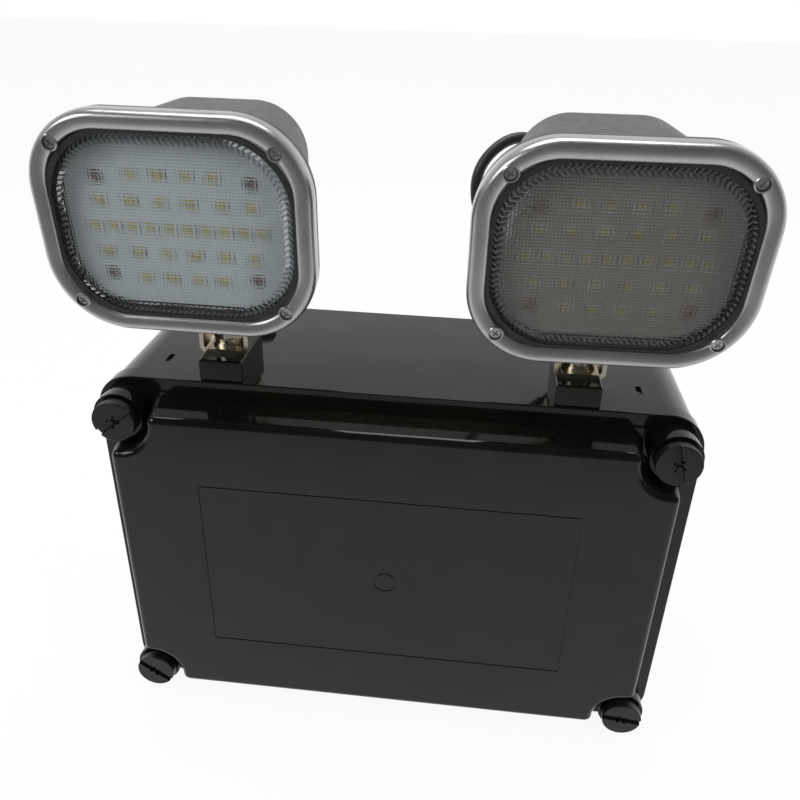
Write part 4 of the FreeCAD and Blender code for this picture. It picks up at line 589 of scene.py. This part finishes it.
def make_board_screws(side):
    """Pan heads, with a cross recess sunk in each."""
    vertices, faces = [], []
    for sx in (-1, 1):
        for sz in (-1, 1):
            x, z = sx * BOARD_SCREWS[0] / 2, BOARD_CENTRE + sz * BOARD_SCREWS[1] / 2
            start = len(vertices)
            for radius, rise in SCREW_RINGS:
                for k in range(SCREW_SIDES):
                    angle = 2 * math.pi * k / SCREW_SIDES
                    arm = 1.0 if rise < SCREW_RINGS[-1][1] or k % 6 == 0 else 0.45
                    vertices.append((x + arm * radius * math.cos(angle), LED_FACE - rise,
                                     z + arm * radius * math.sin(angle)))
            vertices.append((x, LED_FACE - SCREW_RINGS[2][1], z))
            for ring in range(len(SCREW_RINGS) - 1):
                low, high = start + ring * SCREW_SIDES, start + (ring + 1) * SCREW_SIDES
                faces += [(low + k, low + (k + 1) % SCREW_SIDES, high + (k + 1) % SCREW_SIDES, high + k)
                          for k in range(SCREW_SIDES)]
            last = start + (len(SCREW_RINGS) - 1) * SCREW_SIDES
            faces += [(last + k, last + (k + 1) % SCREW_SIDES, len(vertices) - 1) for k in range(SCREW_SIDES)]
            faces.append(tuple(start + k for k in reversed(range(SCREW_SIDES))))
    screws = make_mesh(f"board_screw_heads_{side}", vertices, faces, [COPPER], head_place(side))
    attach(screws, f"head_{side}")
    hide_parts(f"board_screws_{side}")


BEZEL_OUTLINE = (107.2, 85.8, 30.0)
BEZEL_BACK = -43.3
BEZEL_FRONT = -50.15
BEZEL_RING = 6.8
CREST_INSET = 2.9
SHOULDER = -46.6
LIP_BACK = -48.5
REBATE_INSET = 5.7
BEZEL_SCREWS = (82.8, 61.4)
BOSS_RADIUS = 3.1
RECESS_RADIUS = 2.4
RECESS_FLOOR = -47.7
BOSS_CHAMFER = 0.35
RECESS_OVERRUN = 1.0
SHARP_ANGLE = 35


def bezel_profile(steps=9):
    """(inset, y) round the ring's section: up the outer wall, over the crest, down the long inner slope."""
    profile = [(0.0, BEZEL_BACK)]
    for k in range(steps + 1):
        turn = math.pi / 2 * k / steps
        profile.append((CREST_INSET * (1 - math.cos(turn)), SHOULDER + (BEZEL_FRONT - SHOULDER) * math.sin(turn)))
    for k in range(1, steps + 1):
        turn = math.pi / 2 * k / steps
        profile.append((CREST_INSET + (BEZEL_RING - CREST_INSET) * math.sin(turn),
                        BEZEL_FRONT + (LIP_BACK - BEZEL_FRONT) * (1 - math.cos(turn))))
    return profile + [(REBATE_INSET, LIP_BACK), (REBATE_INSET, BEZEL_BACK)]


def swept_ring(outline, profile, steps=180):
    walk = Outline(*outline)
    vertices, faces = [], []
    for inset, y in profile:
        for k in range(steps):
            x, z = walk.at(k * walk.length / steps, inset)
            vertices.append((x, y, HEAD_CENTRE + z))
    rows = len(profile)
    for row in range(rows):
        low, high = row * steps, (row + 1) % rows * steps
        faces += [(low + k, high + k, high + (k + 1) % steps, low + (k + 1) % steps) for k in range(steps)]
    return vertices, faces


def drums(radius, back, front, chamfer=0.0, sides=40):
    """Four cylinders at the bezel's screws, as one mesh."""
    vertices, faces = [], []
    for sx in (-1, 1):
        for sz in (-1, 1):
            x, z = sx * BEZEL_SCREWS[0] / 2, HEAD_CENTRE + sz * BEZEL_SCREWS[1] / 2
            start = len(vertices)
            rings = [(radius, back), (radius, front + chamfer), (radius - chamfer, front)]
            for size, y in rings if chamfer else rings[::2]:
                for k in range(sides):
                    angle = 2 * math.pi * k / sides
                    vertices.append((x + size * math.cos(angle), y, z + size * math.sin(angle)))
            rows = (len(vertices) - start) // sides
            for row in range(rows - 1):
                low, high = start + row * sides, start + (row + 1) * sides
                faces += [(low + k, low + (k + 1) % sides, high + (k + 1) % sides, high + k) for k in range(sides)]
            faces.append(tuple(start + k for k in reversed(range(sides))))
            faces.append(tuple(start + (rows - 1) * sides + k for k in range(sides)))
    return vertices, faces


def carve(piece, tool, operation):
    """Applies one exact boolean to the piece, and removes the tool."""
    change = piece.modifiers.new("change", "BOOLEAN")
    change.object = tool
    change.operation = operation
    change.solver = "EXACT"
    bpy.context.view_layer.update()
    result = bpy.data.meshes.new_from_object(piece.evaluated_get(bpy.context.evaluated_depsgraph_get()))
    piece.modifiers.clear()
    piece.data = result
    bpy.data.objects.remove(tool)


def make_bezel(side):
    """The bezel with its true half-round section, and a boss round each of its screws."""
    bezel = make_mesh(f"bezel_ring_{side}", *swept_ring(BEZEL_OUTLINE, bezel_profile()), [SILVER])
    carve(bezel, make_mesh("bosses", *drums(BOSS_RADIUS, LIP_BACK, BEZEL_FRONT, BOSS_CHAMFER), [SILVER]), "UNION")
    recesses = make_mesh("recesses", *drums(RECESS_RADIUS, RECESS_FLOOR, BEZEL_FRONT - RECESS_OVERRUN), [SILVER])
    carve(bezel, recesses, "DIFFERENCE")
    bezel.data.transform(head_place(side))
    bezel.data.polygons.foreach_set("use_smooth", [True] * len(bezel.data.polygons))
    bezel.data.set_sharp_from_angle(angle=math.radians(SHARP_ANGLE))
    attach(bezel, f"head_{side}")
    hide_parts(f"bezel_{side}")


for side in SIDES:
    make_lens(side)
    make_board(side)
    make_leds(side)
    make_board_screws(side)
    make_bezel(side)


# ---------------------------------------------------------------- the right head's lead

HOUSING_BACK = 24.7
HEAD_GLAND_HEIGHT = 56.0
GLAND_REACH = 11.0
LEAD_EXIT_RUN = 3.7
LEAD_ENTRY_RUN = 20.0
BOX_GLAND = Vector((82.0, -22.0, 93.25))
LEAD_RADIUS = 2.5
LEAD_SIDES = 20
LEAD_SPLIT = 0.56
LEAD_ROUTE = [
    (77.6, -38.9, 186.8), (68.0, -31.5, 191.7), (56.0, -32.9, 196.8), (42.5, -40.5, 197.7),
    (30.4, -46.0, 185.6), (30.4, -46.0, 168.6), (38.0, -42.0, 153.5), (52.0, -34.0, 143.0),
    (68.0, -25.5, 136.0),
]


def lead_line():
    """Points along the lead's smooth line from the head's gland to the box's, in metres."""
    place = head_place("right")
    route = [place @ Vector((0, HOUSING_BACK + GLAND_REACH + run, HEAD_GLAND_HEIGHT)) for run in (0, LEAD_EXIT_RUN)]
    route += [Vector(point) * MM for point in LEAD_ROUTE]
    route += [(BOX_GLAND + Vector((0, 0, GLAND_REACH + run))) * MM for run in (LEAD_ENTRY_RUN, 0)]
    data = bpy.data.curves.new("lead_route", "CURVE")
    data.dimensions = "3D"
    data.resolution_u = 16
    spline = data.splines.new("NURBS")
    spline.points.add(len(route) - 1)
    for point, spot in zip(spline.points, route):
        point.co = (*spot, 1.0)
    spline.order_u = 3
    spline.use_endpoint_u = True
    curve = bpy.data.objects.new("lead_route", data)
    bpy.context.scene.collection.objects.link(curve)
    bpy.context.view_layer.update()
    line = bpy.data.meshes.new_from_object(curve)
    points = [vertex.co.copy() for vertex in line.vertices]
    bpy.data.objects.remove(curve)
    return points


def tube(name, line, material):
    """A round tube along the points, its rings turned as little as the line allows."""
    vertices, faces = [], []
    side = (line[1] - line[0]).orthogonal().normalized()
    for i, spot in enumerate(line):
        ahead = (line[min(i + 1, len(line) - 1)] - line[max(i - 1, 0)]).normalized()
        side = (side - ahead * side.dot(ahead)).normalized()
        across = ahead.cross(side)
        for k in range(LEAD_SIDES):
            angle = 2 * math.pi * k / LEAD_SIDES
            vertices.append(spot + LEAD_RADIUS * MM * (math.cos(angle) * side + math.sin(angle) * across))
        if i:
            low, high = (i - 1) * LEAD_SIDES, i * LEAD_SIDES
            faces += [(low + k, low + (k + 1) % LEAD_SIDES, high + (k + 1) % LEAD_SIDES, high + k)
                      for k in range(LEAD_SIDES)]
    last = len(vertices) - LEAD_SIDES
    faces.append(tuple(reversed(range(LEAD_SIDES))))
    faces.append(tuple(last + k for k in range(LEAD_SIDES)))
    return make_mesh(name, vertices, faces, [material], smooth=True)


def make_lead():
    """The lead in two pieces that meet behind the head.

    At the upward limit of tilt_right the lower piece cuts into the housing. With LEAD_SPLIT at 0.8 the upper piece
    sinks in the housing instead, which is worse.
    """
    line = lead_line()
    middle = round(LEAD_SPLIT * len(line))
    for name, part, bodies in (("lead_upper", line[:middle + 1], ("head_right", "swivel_right")),
                               ("lead_lower", line[middle:], ("swivel_right", "box"))):
        lead = tube(name, part, LEAD)
        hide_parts("head_lead_right")
        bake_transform(lead)


make_lead()


# ---------------------------------------------------------------- floor, world and lights

FLOOR_GLOW = 0.92
AMBIENT = 0.45
# how bright reflections see the white surround, towards the front and above
GLOSS_FRONT = 0.1
GLOSS_ABOVE = 0.45
FLOOR_SIZE = 6.0


def make_floor():
    """A pale floor, white to the camera, that keeps the light's shadow; gloss sees it dim towards the front."""
    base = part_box("front_cover")[0].z
    size = FLOOR_SIZE
    vertices = [(-size, -size, base), (size, -size, base), (size, size, base), (-size, size, base)]
    shader = Shader("floor_white", Roughness=0.7)
    shader.colour(shader.ramp(shader.noise(3.0, 3.0), [(0.3, 0.93), (0.7, 0.97)]))
    output = shader.tree.nodes["Material Output"]
    glow = shader.add("ShaderNodeEmission", Strength=1.0)
    path = shader.add("ShaderNodeLightPath")
    seen = shader.tree_sum(path.outputs["Is Camera Ray"], path.outputs["Is Transmission Ray"],
                           path.outputs["Is Glossy Ray"])
    share = shader.add("ShaderNodeMath", operation="MULTIPLY")
    share.inputs[1].default_value = FLOOR_GLOW
    split = shader.add("ShaderNodeSeparateXYZ")
    shader.join(shader.place, split.inputs[0])
    ahead = shader.add("ShaderNodeMapRange")
    shader.join(split.outputs["Y"], ahead.inputs["Value"])
    for socket, value in (("From Min", -0.6), ("From Max", -0.32), ("To Min", GLOSS_FRONT), ("To Max", 1.0)):
        ahead.inputs[socket].default_value = value
    level = shader.add("ShaderNodeMix")
    shader.join(path.outputs["Is Glossy Ray"], level.inputs["Factor"])
    level.inputs["A"].default_value = 1.0
    shader.join(ahead.outputs[0], level.inputs["B"])
    shader.join(level.outputs["Result"], glow.inputs["Strength"])
    shader.join(seen, share.inputs[0])
    blend = shader.add("ShaderNodeMixShader")
    shader.join(share.outputs[0], blend.inputs[0])
    shader.join(shader.surface.outputs[0], blend.inputs[1])
    shader.join(glow.outputs[0], blend.inputs[2])
    shader.join(blend.outputs[0], output.inputs["Surface"])
    floor = make_mesh("floor", vertices, [(0, 1, 2, 3)], [shader.material])


def make_world():
    """White behind the light, as the camera and clear pieces see it; gloss sees it dim towards the front."""
    world = bpy.data.worlds.new("world")
    bpy.context.scene.world = world
    world.use_nodes = True
    tree = world.node_tree
    background = tree.nodes["Background"]
    path = tree.nodes.new("ShaderNodeLightPath")
    split = tree.nodes.new("ShaderNodeSeparateXYZ")
    tree.links.new(tree.nodes.new("ShaderNodeTexCoord").outputs["Generated"], split.inputs[0])
    depth = tree.nodes.new("ShaderNodeMapRange")
    tree.links.new(split.outputs["Y"], depth.inputs["Value"])
    for socket, value in (("From Min", -0.35), ("From Max", 0.3), ("To Min", GLOSS_FRONT), ("To Max", 1.0)):
        depth.inputs[socket].default_value = value
    height = tree.nodes.new("ShaderNodeMapRange")
    tree.links.new(split.outputs["Z"], height.inputs["Value"])
    for socket, value in (("From Min", 0.2), ("From Max", 0.8), ("To Min", 1.0), ("To Max", GLOSS_ABOVE)):
        height.inputs[socket].default_value = value
    gloss = tree.nodes.new("ShaderNodeMath")
    gloss.operation = "MULTIPLY"
    tree.links.new(depth.outputs[0], gloss.inputs[0])
    tree.links.new(height.outputs[0], gloss.inputs[1])
    strength = None
    for kind, value in (("Is Glossy Ray", gloss.outputs[0]), ("Is Camera Ray", 1.0), ("Is Transmission Ray", 1.0)):
        choose = tree.nodes.new("ShaderNodeMix")
        tree.links.new(path.outputs[kind], choose.inputs["Factor"])
        if strength is None:
            choose.inputs["A"].default_value = AMBIENT
        else:
            tree.links.new(strength, choose.inputs["A"])
        if isinstance(value, float):
            choose.inputs["B"].default_value = value
        else:
            tree.links.new(value, choose.inputs["B"])
        strength = choose.outputs["Result"]
    background.inputs["Color"].default_value = (1.0, 1.0, 1.0, 1.0)
    tree.links.new(strength, background.inputs["Strength"])


def make_light(name, place, size, power, colour=(1.0, 1.0, 1.0), aim=(0.0, -0.06, 0.06)):
    data = bpy.data.lights.new(name, "AREA")
    data.shape = "RECTANGLE"
    data.size, data.size_y = size
    data.energy = power
    data.color = colour
    light = bpy.data.objects.new(name, data)
    bpy.context.scene.collection.objects.link(light)
    light.location = place
    light.rotation_euler = (Vector(aim) - Vector(place)).to_track_quat("-Z", "Y").to_euler()
    return light


make_floor()
make_world()
make_light("overhead", (-0.1, 0.15, 1.5), (1.3, 0.7), 14.0)
make_light("front_left", (-1.3, -1.2, 1.0), (0.8, 0.8), 12.0, (0.96, 0.98, 1.0))
# out of reflections, because its glint speckles the right lens
make_light("front_right", (1.4, -0.9, 0.8), (0.6, 0.8), 6.0, (1.0, 0.98, 0.95)).visible_glossy = False

bpy.context.scene.view_settings.view_transform = "Standard"
